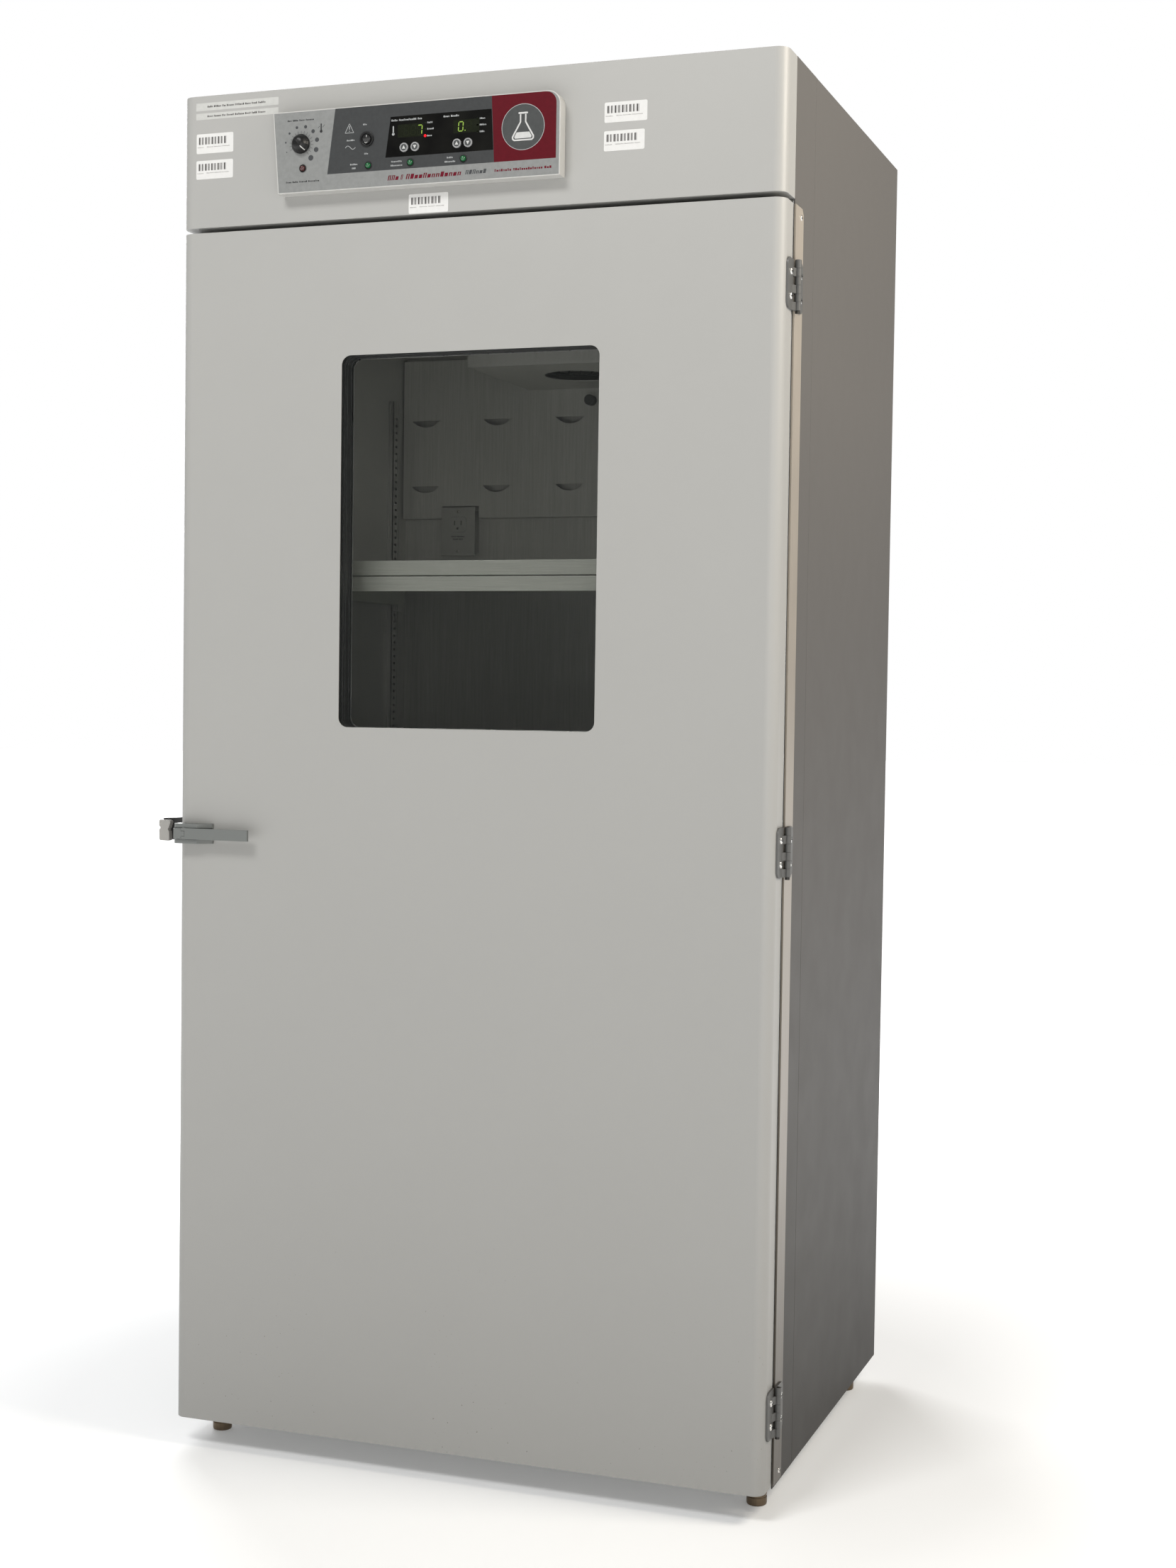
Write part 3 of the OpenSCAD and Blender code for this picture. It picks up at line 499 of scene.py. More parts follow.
# Looks of the CAD nodes, each with the rounding of the nodes' edges in millimetres
CAD_LOOKS = (
    (front_paint, 0.5, "case_top_panel"), (front_paint, 0.9, "header_cover door_skin"),
    (side_paint, 0.5, "case_front_strips case_left_panel case_right_panel case_rear_panel"),
    (stainless, 0.6, "base_pan"), (stainless, 0.8, "opening_frame"),
    (stainless, 0.4, "electronics_deck door_inner_panel"), (stainless, 0.3, "shelf_standards"),
    (stainless, 0.5, "shelf_clips water_pan"),
    (liner_steel, 0.3, "chamber_liner"), (liner_steel, 0.35, "air_duct"),
    (liner_steel, 0.4, "blower_housing"), (shelf_steel, 0.45, "shelf_lower shelf_middle shelf_upper"),
    (bar_steel, 0.5, "hinge_bar"), (screw_steel, 0.4, "latch_pin"),
    (screw_steel, 0.2, "screws_cabinet screws_door"), (dark_steel, 1.0, "blower_motor"),
    (dark_steel, 0.8, "hinge_pins"), (dark_steel, 0.3, "blower_wheel"),
    (foam_look, 0, "cabinet_insulation door_insulation"), (heater_look, 0, "heating_element"),
    (sensor_look, 0.6, "chamber_sensors"), (outlet_look, 0.5, "interior_outlet"),
    (board_look, 0.2, "control_board"), (supply_look, 1.0, "power_supply"),
    (brass_look, 0.8, "gas_valve"), (brass_look, 0.4, "gas_fitting"),
    (black_look, 0.8, "power_inlet"), (black_look, 0.5, "switch_bezel safety_knob"),
    (black_look, 0.4, "power_rocker"), (housing_look, 1.4, "control_housing"),
    (film_light, 0.12, "panel_overlay"), (lens_black, 0.25, "display_window"),
    (lamp_green, 0.3, "panel_lamps"),
    (key_look, 0.8, "temp_up_button temp_down_button gas_up_button gas_down_button"),
    (bracket_black, 0.6, "strike_bracket"), (strike_paint, 1.5, "strike_block"),
    (hinge_paint, 0.5, "hinge_leaves_cabinet hinge_leaves_door"), (latch_paint, 0.9, "latch_base"),
    (latch_paint, 1.1, "latch_lever"), (latch_paint, 1.0, "latch_claw"),
    (glass_look, 0.3, "outer_pane inner_pane"), (trim_look, 0.5, "window_frame"),
    (gasket_look, 1.5, "door_gasket"), (foot_look, 0.8, "levelling_feet"),
)


def dress_cad_nodes():
    for look, rounding, nodes in CAD_LOOKS:
        for node in nodes.split():
            piece = NODES[node]
            piece.data.materials.clear()
            piece.data.materials.append(look.material)
            if rounding:
                round_edges(piece, rounding, weld=True)


# ---- Camera, lights and floor ----
CAMERA_AT = (1291.0, -3068.8, 1216.5)
CAMERA_YAW, CAMERA_PITCH, CAMERA_ROLL = 19.52, 2.333, 0.82
CAMERA_LENS = 50.316
CAMERA_SENSOR = 36
AMBIENT = 0.3
FLOOR_GLOW = 0.14
FLOOR_NEAR, FLOOR_FAR = 0.8, 2.8
FLOOR_RADIUS = 40


def make_camera():
    data = bpy.data.cameras.new("camera")
    data.sensor_width = CAMERA_SENSOR
    data.lens = CAMERA_LENS
    camera = bpy.data.objects.new("camera", data)
    turn = (Matrix.Rotation(math.radians(CAMERA_YAW), 4, "Z")
            @ Matrix.Rotation(math.radians(90 - CAMERA_PITCH), 4, "X")
            @ Matrix.Rotation(math.radians(CAMERA_ROLL), 4, "Z"))
    camera.matrix_world = Matrix.Translation(at(*CAMERA_AT)) @ turn
    scene.collection.objects.link(camera)
    scene.camera = camera


def area_light(name, place, target, size, power, color):
    """A lamp at a place, aimed at a target, with its size in metres and its power in watts."""
    data = bpy.data.lights.new(name, "AREA")
    data.shape = "RECTANGLE"
    data.size, data.size_y = size
    data.energy = power
    data.color = color
    lamp = bpy.data.objects.new(name, data)
    lamp.location = at(*place)
    aim = at(*target) - lamp.location
    lamp.rotation_euler = aim.to_track_quat("-Z", "Y").to_euler()
    scene.collection.objects.link(lamp)
    return lamp


def make_studio():
    area_light("key", (-700, -3300, 4600), (0, 0, 1000), (1.9, 1.1), 118, (1.0, 0.995, 0.98))
    area_light("fill", (2300, -4400, 1500), (0, 0, 800), (2.0, 3.0), 34, (1.0, 0.985, 0.95))
    area_light("side", (2400, 0, 3000), (480, 100, 2250), (1.2, 1.2), 62, (1.0, 0.92, 0.8))
    chamber = area_light("chamber", (-60, 95, 1455), (-60, 640, 1430), (0.6, 0.05), 0.46, (1.0, 1.0, 0.95))
    chamber.visible_camera = False
    chamber.visible_glossy = False
    area_light("back", (-2600, 3600, 2800), (0, 700, 1200), (2.5, 2.5), 120, (1.0, 1.0, 1.0))
    make_world()
    make_floor()
    scene.view_settings.view_transform = "Standard"


def make_world():
    """A white surround for the camera, and a dimmer grey one that lights the object."""
    world = bpy.data.worlds.new("studio")
    world.use_nodes = True
    scene.world = world
    tree = world.node_tree
    ambient = tree.nodes["Background"]
    ambient.inputs["Color"].default_value = (1.0, 0.995, 0.985, 1)
    ambient.inputs["Strength"].default_value = AMBIENT
    seen = tree.nodes.new("ShaderNodeBackground")
    seen.inputs["Color"].default_value = (1, 1, 1, 1)
    seen.inputs["Strength"].default_value = 1.0
    path = tree.nodes.new("ShaderNodeLightPath")
    mix = tree.nodes.new("ShaderNodeMixShader")
    tree.links.new(path.outputs["Is Camera Ray"], mix.inputs["Fac"])
    tree.links.new(ambient.outputs["Background"], mix.inputs[1])
    tree.links.new(seen.outputs["Background"], mix.inputs[2])
    tree.links.new(mix.outputs["Shader"], tree.nodes["World Output"].inputs["Surface"])


def make_floor():
    """A pale floor that grows into the white surround with distance."""
    look = Look("floor_look", (0.9, 0.91, 0.92), roughness=0.75)
    look.tint(look.noise(0.8, detail=3), (0.885, 0.895, 0.905), (0.9, 0.91, 0.92))
    place = look.node("ShaderNodeTexCoord")
    length = look.node("ShaderNodeVectorMath", operation="LENGTH")
    look.join(place.outputs["Object"], length.inputs[0])
    look.join(look.spread(length.outputs["Value"], FLOOR_GLOW, 1.0, FLOOR_NEAR, FLOOR_FAR),
              look.shader.inputs["Emission Strength"])
    look.set("Emission Color", (1, 1, 1, 1))
    bm = bmesh.new()
    bmesh.ops.create_circle(bm, cap_ends=True, segments=96, radius=FLOOR_RADIUS)
    floor = bpy.data.objects.new("floor", finish_mesh(bm, "floor"))
    floor.data.materials.append(look.material)
    scene.collection.objects.link(floor)


# ---- Control panel ----
# Panel places are x from the cabinet's middle and height above the housing's lower edge
def on_panel(outline):
    return [(x, PANEL_Z + z) for x, z in outline]


def panel_print(name, outlines, look, level=1, slot="overlay"):
    """A layer of print on the panel's film. A higher level lies further out."""
    face = PANEL_FACE - level * INK
    return plates(name, [on_panel(o) for o in outlines], face + INK, face, look, "cabinet", slot)


def word_bars(x0, x1, z, height, words, gap=1.6, slant=0.0, letter=1.15):
    """Letter-sized blocks without meaning, in place of a line of writing. Each word has a share of
    the length, and letter is the width of a block against its height."""
    rng = random.Random(int(1000 * (x0 + z)))
    total = x1 - x0 - gap * (len(words) - 1)
    outlines = []
    x = x0
    for share in words:
        w = total * share / sum(words)
        count = max(1, round(w / (height * letter * 0.82)))
        pitch = w / count
        for i in range(count):
            left = x + i * pitch
            right = left + pitch * 0.76
            top = z + height * rng.choice((0.5, 0.22, 0.22) if i else (0.5,))
            low = z - height / 2
            lean = slant * (top - low) / height
            if rng.random() < 0.45:
                stem = (right - left) * 0.36
                for a, b in ((left, left + stem), (right - stem, right)):
                    outlines.append([(a, low), (b, low), (b + lean, top), (a + lean, top)])
                outlines.append([(left + stem, top - height * 0.2), (right - stem, top - height * 0.2),
                                 (right - stem + lean, top), (left + stem + lean, top)])
            else:
                outlines.append([(left, low), (right, low), (right + lean, top), (left + lean, top)])
        x += w + gap
    return outlines


ZONE_LOW, ZONE_HIGH = 24.8, 122.6
ZONE_SPLIT_TOP, ZONE_SPLIT_LOW = -212.3, -225.0
MAROON_LEFT_TOP, MAROON_LEFT_LOW = 44.4, 49.1
MAROON_RIGHT, MAROON_CORNER = 147.0, 17.0
ROUNDEL = (94.7, 73.5)
ROUNDEL_R = 34.0


def panel_zones():
    panel_print("panel_zone_dark", [[(ZONE_SPLIT_LOW, ZONE_LOW), (MAROON_LEFT_LOW, ZONE_LOW),
                (MAROON_LEFT_TOP, ZONE_HIGH), (ZONE_SPLIT_TOP, ZONE_HIGH)]], film_dark)
    corner = [(MAROON_RIGHT - MAROON_CORNER + MAROON_CORNER * math.cos(math.radians(a)),
               ZONE_HIGH - MAROON_CORNER + MAROON_CORNER * math.sin(math.radians(a)))
              for a in range(0, 91, 10)]
    panel_print("panel_zone_maroon", [[(MAROON_LEFT_LOW, ZONE_LOW), (MAROON_RIGHT, ZONE_LOW)] + corner
                + [(MAROON_LEFT_TOP, ZONE_HIGH)]], film_maroon)
    cx, cz = ROUNDEL
    panel_print("panel_roundel_rim", [disc(cx, cz, ROUNDEL_R, 64)], ink_pale, 2)
    panel_print("panel_roundel", [disc(cx, cz, ROUNDEL_R - 0.9, 64)], film_disc, 3)
    panel_print("panel_roundel_flask", flask_outlines(cx, cz), ink_white, 4)


def flask_outlines(cx, cz):
    """A plain conical flask: a band round it, liquid in its lower part and a lip."""
    outer = [(-5.2, 18.5), (-5.2, 7.6), (-17.6, -13.6), (-17.4, -17.6), (-14.2, -20.2)]
    inner = [(-3.0, 18.5), (-3.0, 7.0), (-15.2, -14.2), (-15.2, -16.6), (-13.4, -18.0)]
    for half in (outer, inner):
        half += [(-x, z) for x, z in reversed(half)]
    band = []
    for i in range(len(outer) - 1):
        band.append([outer[i], outer[i + 1], inner[i + 1], inner[i]])
    liquid = [(-10.0, -7.6), (10.0, -7.6), (13.8, -14.2), (12.6, -16.6), (-12.6, -16.6), (-13.8, -14.2)]
    lip = rounded(-7.6, 19.1, 7.6, 21.7, 1.2, 3)
    return [[(cx + x, cz + z) for x, z in outline] for outline in band + [liquid, lip]]


KNOB_X, KNOB_Z = -269.4, 73.2
DIAL_R = 27.0
DIAL_TICK = (16.2, 20.4)
DIAL_START, DIAL_STEP, DIAL_DOTS = 203, -32, 9


def dial_marks():
    dots, ticks = [], []
    for i in range(DIAL_DOTS):
        a = math.radians(DIAL_START + DIAL_STEP * i)
        dots.append(disc(KNOB_X + DIAL_R * math.cos(a), KNOB_Z + DIAL_R * math.sin(a), 0.9 + 0.42 * i))
    for i in range(DIAL_DOTS * 2 - 1):
        a = math.radians(DIAL_START + DIAL_STEP * i / 2)
        ends = [(KNOB_X + r * math.cos(a), KNOB_Z + r * math.sin(a)) for r in DIAL_TICK]
        ticks += stroke(ends, 0.5)
    panel_print("dial_dots", dots, ink_grey)
    panel_print("dial_ticks", ticks, ink_grey)
    tx, tz = -236.0, 95.5
    thermometer = [disc(tx, tz - 5, 2.3, 16), rounded(tx - 1.0, tz - 4, tx + 1.0, tz + 7, 0.9, 3)]
    thermometer += stroke([(tx + 2.6, tz + 1), (tx + 5.6, tz + 4.6)], 0.6)
    thermometer += stroke([(tx - 2.6, tz + 3), (tx - 5.2, tz + 0.4)], 0.6)
    panel_print("dial_thermometer", thermometer, ink_dark)
    captions = word_bars(-293, -248, 109.8, 2.5, (3, 4, 4, 6))
    captions += word_bars(-295, -238, 16.6, 2.5, (4, 4, 6, 8))
    panel_print("dial_captions", captions, ink_dark)


def switch_marks():
    pale = []
    for x0, x1, z in ((-165.5, -159, 95.6), (-163, -156.5, 51.6), (-192.5, -179, 73.3),
                      (-186.5, -174, 36.8), (-183.5, -177, 30.9), (-118, -100.5, 36.6),
                      (-119, -99.5, 30.8), (-27, -17, 36.6), (-30.5, -13, 30.6)):
        pale += word_bars(x0, x1, z, 2.3, (1,))
    panel_print("switch_captions", pale, ink_pale, 2)
    cx, cz = -188.3, 91.0
    triangle = [(cx - 7.2, cz - 6.4), (cx, cz + 7.4), (cx + 7.2, cz - 6.4), (cx - 7.2, cz - 6.4)]
    sine = [(-195 + 17 * i / 16, 62.4 + 2.7 * math.sin(2 * math.pi * i / 16)) for i in range(17)]
    bolt = [rounded(cx - 0.6, cz - 1.6, cx + 0.6, cz + 3.8, 0.5, 3), disc(cx, cz - 3.9, 0.7, 12)]
    panel_print("switch_symbols", stroke(triangle, 0.8) + stroke(sine, 0.9) + bolt, ink_pale, 2)


def title_marks():
    title = word_bars(-124, -99, 12.6, 7.4, (5, 1), 2.4, 1.8)
    title += word_bars(-94, -3, 12.8, 7.4, (9,), 2.4, 1.8)
    panel_print("title_bars_maroon", title, ink_maroon)
    panel_print("title_bars_grey", word_bars(3, 37, 13.0, 6.2, (6,), 2, 1.5), ink_grey)
    panel_print("title_bars_small", word_bars(50, 141, 12.4, 3.6, (7, 12, 3), 2.4), ink_maroon)


DIGIT_H, DIGIT_W, DIGIT_LINE = 13.6, 7.2, 1.35
SEGMENTS = {"7": "abc", "0": "abcdef", " ": ""}


def digit(x, z, lit):
    """Seven slanted segments at a place, as those lit and those dim."""
    w, h, t = DIGIT_W, DIGIT_H, DIGIT_LINE
    spots = {"a": ((0, h), (w, h)), "b": ((w, h), (w, h / 2)), "c": ((w, h / 2), (w, 0)),
             "d": ((0, 0), (w, 0)), "e": ((0, 0), (0, h / 2)), "f": ((0, h / 2), (0, h)),
             "g": ((0, h / 2), (w, h / 2))}
    on, off = [], []
    for name, ((x0, z0), (x1, z1)) in spots.items():
        length = math.hypot(x1 - x0, z1 - z0)
        ux, uz = (x1 - x0) / length, (z1 - z0) / length
        points = []
        for along, across in ((0.5, 0), (1.1, 0.5), (length - 1.1, 0.5), (length - 0.5, 0),
                              (length - 1.1, -0.5), (1.1, -0.5)):
            px = x0 + ux * along - uz * across * t
            pz = z0 + uz * along + ux * across * t
            points.append((x + px + pz * 0.07, z + pz))
        (on if name in SEGMENTS[lit] else off).append(points)
    return on, off


def display():
    def layer(name, outlines, look, level=1):
        face = LENS_FACE - level * INK
        plates(name, [on_panel(o) for o in outlines], face + INK, face, look, "cabinet", "lens")

    modules = [rounded(-108, 71.5, -66, 91, 1, 3), rounded(-17, 71.5, 25, 91, 1, 3)]
    layer("display_modules", modules, module_look)
    lit, dim = [], []
    for x, figure in ((-97.5, " "), (-86.5, " "), (-75.8, "7"), (-9.0, "0"), (4.0, " ")):
        on, off = digit(x, 74.4, figure)
        lit += on
        dim += off
    lit.append(disc(2.0, 75.0, 0.8, 12))
    layer("digits_unlit", dim, digit_dim, 2)
    layer("digits_lit", lit, digit_lit, 2)
    marks = word_bars(-118.5, -68, 97.9, 2.8, (3, 8, 2), 1.8) + word_bars(-33, -7.5, 97.9, 2.8, (3, 4), 1.8)
    for x in (-59.5, 25.5):
        for z, w in ((91.0, 9), (81.6, 11), (71.6, 8)):
            marks += word_bars(x, x + w, z, 2.4, (1,))
    marks += [disc(-115.2, 77.6, 2.2, 16), rounded(-116.2, 78.5, -114.2, 89.5, 0.9, 3)]
    layer("display_captions", marks, ink_pale)
    unlit = ((-62.8, 91), (-62.8, 81.6), (21.8, 91), (21.8, 81.6), (21.8, 71.6))
    layer("display_leds_off", [disc(x, z, 1.3, 12) for x, z in unlit], digit_dim)
    layer("display_led_lit", [disc(-62.8, 71.6, 2.1, 16)], led_red)


def key_triangles():
    """The printed faces of the keys: a grey middle in the pale ring, with a pale triangle."""
    keys = (("temp_up_button", 1), ("temp_down_button", -1), ("gas_up_button", 1), ("gas_down_button", -1))
    for node, way in keys:
        face = box_mm(node)[0].y
        cx, cz = centre_of(node)
        middle = disc(cx, cz, 4.9, 28)
        arrow = [(cx - 2.8, cz - 2.2 * way), (cx, cz + 3.0 * way), (cx + 2.8, cz - 2.2 * way)]
        plates(node + "_face", [middle], face, face - INK, film_disc, BODY_OF[node], "key")
        plates(node + "_arrow", [arrow], face - INK, face - 2 * INK, ink_white, BODY_OF[node], "key")


ROCKER_Y = -19.5
MARK_PROUD, MARK_THICK = 0.12, 0.3


def rocker_marks():
    """The bar and the ring on the rocker, which follow its tilted faces."""
    cx, cz = centre_of("power_rocker")
    bm = bmesh.new()
    bar = rounded(cx - 0.45, cz + 2.6, cx + 0.45, cz + 6.2, 0.3, 3)
    for outline in [bar] + ring_outlines(cx, cz - 4.4, 1.9, 0.7):
        front = [rocker_face(z - cz) - MARK_PROUD for x, z in outline]
        outer = [bm.verts.new(at(x, y, z)) for (x, z), y in zip(outline, front)]
        inner = [bm.verts.new(at(x, y + MARK_THICK, z)) for (x, z), y in zip(outline, front)]
        bm.faces.new(outer)
        bm.faces.new(list(reversed(inner)))
        for i in range(len(outline)):
            j = (i + 1) % len(outline)
            bm.faces.new((outer[i], inner[i], inner[j], outer[j]))
    link("rocker_marks", bm, ink_white, "rocker")


def rocker_face(dz):
    """Depth of the rocker's notched face at a height from its middle, tilted back at the top."""
    notch = -5.4 - 1.1 * min(abs(dz) / 9.0, 1.0)
    return ROCKER_Y + notch + dz * math.sin(math.radians(8))


def ring_outlines(cx, cz, r, width, steps=20):
    """A ring as a row of short plates."""
    outlines = []
    outer, inner = r + width / 2, r - width / 2
    for i in range(steps):
        a, b = 2 * math.pi * i / steps, 2 * math.pi * (i + 1) / steps
        outlines.append([(cx + outer * math.cos(a), cz + outer * math.sin(a)),
                         (cx + outer * math.cos(b), cz + outer * math.sin(b)),
                         (cx + inner * math.cos(b), cz + inner * math.sin(b)),
                         (cx + inner * math.cos(a), cz + inner * math.sin(a))])
    return outlines


def lamps():
    """Faceted domes in dark rings, in place of the plain CAD lamps."""
    green = [(-156.1, 33.6), (-86.5, 33.5), (-0.1, 33.5)]
    alarm = [(-266.4, 36.4)]
    ring = [(4.3, 0), (5.6, -0.3), (6.0, -0.8), (5.7, -1.3), (4.6, -1.4), (4.3, -0.9), (4.3, 0)]
    dome = [(4.25, 0.5), (4.25, -1.2), (3.9, -3.0), (3.0, -4.4), (1.6, -5.2), (0, -5.4)]

    def on_face(profile, spots):
        return [(profile, (x, PANEL_FACE, PANEL_Z + z), "y") for x, z in spots]

    lathed("lamp_rings", on_face(ring, green + alarm), black_look, "cabinet")
    lathed("lamp_domes_green", on_face(dome, green), lamp_green, "cabinet",
           replaces=("panel_lamps",), steps=16)
    lathed("lamp_dome_red", on_face(dome, alarm), lamp_red, "cabinet", steps=16)


POINTER_ANGLE = -50
FLUTES, FLUTE_DEPTH = 18, 0.03
FLUTE_FROM, FLUTE_TO = 2.0, 11.0
POINTER_HALF = 0.75


def knob():
    """A fluted, domed knob with a ridge across it and a white pointer."""
    low, high = box_mm("safety_knob")
    cx, cz = centre_of("safety_knob")
    front, r = low.y, (high.x - low.x) / 2
    profile = [(0, 0.1), (r * 0.3, 0.3), (r * 0.5, 1.1), (r * 0.62, 2.4), (r * 0.74, 4.6),
               (r * 0.86, 7.4), (r * 0.94, 10.2), (r, 11.6), (r, 14.2), (r * 0.96, 14.8), (0, 14.8)]
    bm = bmesh.new()
    add_lathe(bm, profile, (cx, front, cz), "y", 72)
    centre = at(cx, front, cz)
    for v in bm.verts:
        offset = v.co - centre
        if FLUTE_FROM < offset.y / MM < FLUTE_TO:
            a = math.atan2(offset.z, offset.x)
            flute = 1 - FLUTE_DEPTH * (1 + math.cos(FLUTES * a)) / 2
            v.co.x = centre.x + offset.x * flute
            v.co.z = centre.z + offset.z * flute
    link("knob_body", bm, black_look, "knob", sharp=50, replaces=("safety_knob",))
    a = math.radians(POINTER_ANGLE)
    ux, uz = math.cos(a), math.sin(a)
    ridge = stroke([(cx - ux * r * 0.56, cz - uz * r * 0.56), (cx + ux * r * 0.5, cz + uz * r * 0.5)], 1.9)
    plates("knob_ridge", ridge, front + 2.4, front, black_look, "knob", "dark_plastic", 0.3)
    bm = bmesh.new()
    for d0, y0, d1, y1 in ((r * 0.5, 0.9, r * 0.72, 3.9), (r * 0.72, 3.9, r * 0.92, 9.4)):
        corners = []
        for lift in (-0.25, 0.6):
            for d, y in ((d0, y0), (d1, y1)):
                for side in (-POINTER_HALF, POINTER_HALF):
                    spot = at(cx + ux * d - uz * side, front + y + lift, cz + uz * d + ux * side)
                    corners.append(bm.verts.new(spot))
        for face in ((0, 1, 3, 2), (4, 6, 7, 5), (0, 4, 5, 1), (2, 3, 7, 6), (0, 2, 6, 4), (1, 5, 7, 3)):
            bm.faces.new([corners[i] for i in face])
    link("knob_pointer", bm, ink_white, "knob")


# ---- Labels on the header ----
LABELS = ((-464, -399.2, 2055.6, 2086), (-464.2, -399.5, 2015.8, 2044.6), (214, 280, 2054.8, 2084.2),
          (213.6, 276.4, 2013.4, 2042.6), (-98.8, -33.8, 1941.2, 1970.3))
TAPES = ((-465, -321, 2122, 2134), (-465, -321, 2108.2, 2118))
PAPER = 0.12
BAR_GROUPS = 9


def labels():
    """Paper stickers with evenly repeated bars, and two tapes, with blocks for their writing."""
    rng = random.Random(5)
    papers, bars, lines = [], [], []
    for x0, x1, z0, z1 in LABELS:
        papers.append(rounded(x0, z0, x1, z1, 2.2))
        w, h = x1 - x0, z1 - z0
        pitch = w * 0.77 / BAR_GROUPS
        bar_low, bar_high = z1 - h * 0.54, z1 - h * 0.17
        for i in range(BAR_GROUPS):
            left = x0 + w * 0.065 + i * pitch
            wide = pitch * (0.26 if i % 2 else 0.4)
            thin = left + wide + pitch * 0.12
            for a, b in ((left, left + wide), (thin, thin + pitch * 0.13)):
                bars.append([(a, bar_low), (b, bar_low), (b, bar_high), (a, bar_high)])
        lines += word_bars(x0 + 2, x0 + w * 0.2, z1 - h * 0.68, 1.3, (1,))
        shares = [rng.uniform(3, 6) for _ in range(3)]
        lines += word_bars(x0 + w * 0.28, x1 - w * 0.1, z1 - h * 0.67, 1.3, shares, 1.2)
    tapes, marks = [], []
    for x0, x1, z0, z1 in TAPES:
        tapes.append(rounded(x0, z0, x1, z1, 0.6, 2))
        marks += word_bars(x0 + 20, x1 - 22, (z0 + z1) / 2, 2.9, (3, 4, 2, 4, 5, 3, 3, 4), 1.4)
    sheet, ink = (0, -PAPER), (-PAPER, -PAPER - INK)
    for name, outlines, depths, look in (("header_labels", papers, sheet, label_paper),
                                         ("header_label_bars", bars, ink, label_ink),
                                         ("header_label_lines", lines, ink, label_grey),
                                         ("header_tapes", tapes, sheet, tape_paper),
                                         ("header_tape_lines", marks, ink, label_ink)):
        plates(name, outlines, *depths, look, "cabinet")


# ---- Swept frames round the window and the door ----
def sweep_frame(name, outline_at, profile, look, body, replaces):
    """Carries a profile of inset and depth round a closed outline. outline_at(inset) gives the
    outline's points for an inset."""
    bm = bmesh.new()
    rings = []
    for inset, depth in profile:
        rings.append([bm.verts.new(at(x, depth, z)) for x, z in outline_at(inset)])
    for a, b in zip(rings, rings[1:] + rings[:1]):
        for i in range(len(a)):
            j = (i + 1) % len(a)
            bm.faces.new((a[i], a[j], b[j], b[i]))
    link(name, bm, look, body, sharp=35, replaces=replaces)


def window_reveal():
    """The stepped spacer that lines the window's reveal between the two panes."""
    low, high = box_mm("window_frame")
    border = 16.0
    x0, x1, z0, z1 = low.x + border, high.x - border, low.z + border, high.z - border
    corner = 15.0

    def outline(inset):
        return rounded(x0 - inset, z0 - inset, x1 + inset, z1 + inset, corner + inset, 8)

    front, back = low.y, high.y
    profile = [(border, front), (0.4, front), (0.4, front + 4), (2.6, front + 4.6), (2.6, front + 9),
               (0.4, front + 9.6), (0.4, front + 15), (1.6, front + 15.4), (1.6, front + 17),
               (0.4, front + 17.4), (0.4, front + 25), (3.0, front + 25.6), (3.0, back - 2),
               (0.6, back - 1.4), (0.6, back), (border, back)]
    sweep_frame("window_reveal", outline, profile, trim_look, "door", ("window_frame",))


def gasket():
    """A magnetic door gasket with a hollow-looking bulb and two bellows."""
    low, high = box_mm("door_gasket")
    width = 18.0

    def outline(inset):
        corner = max(6 - inset / 3, 0.5)
        return rounded(low.x + inset, low.z + inset, high.x - inset, high.z - inset, corner, 6)

    front, back = low.y, high.y
    depth = back - front
    profile = [(0, front + 0.05), (width, front + 0.05), (width, front + depth * 0.2),
               (width - 2.5, front + depth * 0.32), (width, front + depth * 0.45),
               (width - 1.0, front + depth * 0.62), (width - 1.6, back - 1.0), (width - 3.0, back),
               (3.0, back), (1.6, back - 1.0), (1.0, front + depth * 0.62), (0, front + depth * 0.45),
               (2.5, front + depth * 0.32), (0, front + depth * 0.2)]
    sweep_frame("gasket_bellows", outline, profile, gasket_look, "door", ("door_gasket",))


# ---- Shelf standards with their slots ----
def slotted_standards():
    """Channels whose faces have rows of slots, one for each shelf height."""
    low, high = box_mm("shelf_standards")
    depth, wall, width = 10.0, 1.5, 25.0
    slot_h, slot_w, pitch, end = 4.2, 9.0, 12.7, 10.0
    rows = int((high.z - low.z - 2 * end) // pitch)
    bm = bmesh.new()
    for outer, inward in ((low.x, 1), (high.x, -1)):
        face = outer + inward * depth
        x0, x1 = sorted((face, face - inward * wall))
        flank0, flank1 = sorted((face, outer))
        for y in (low.y, high.y - width):
            mid = y + width / 2
            for edge0, edge1 in ((y, mid - slot_w / 2), (mid + slot_w / 2, y + width)):
                add_box(bm, (x0, edge0, low.z), (x1, edge1, high.z))
            z = low.z
            for i in range(rows + 1):
                top = low.z + end + i * pitch if i < rows else high.z
                add_box(bm, (x0, mid - slot_w / 2, z), (x1, mid + slot_w / 2, top))
                z = top + slot_h
            for edge in (y, y + width - wall):
                add_box(bm, (flank0, edge, low.z), (flank1, edge + wall, high.z))
    link("standard_channels", bm, stainless, "cabinet", replaces=("shelf_standards",))


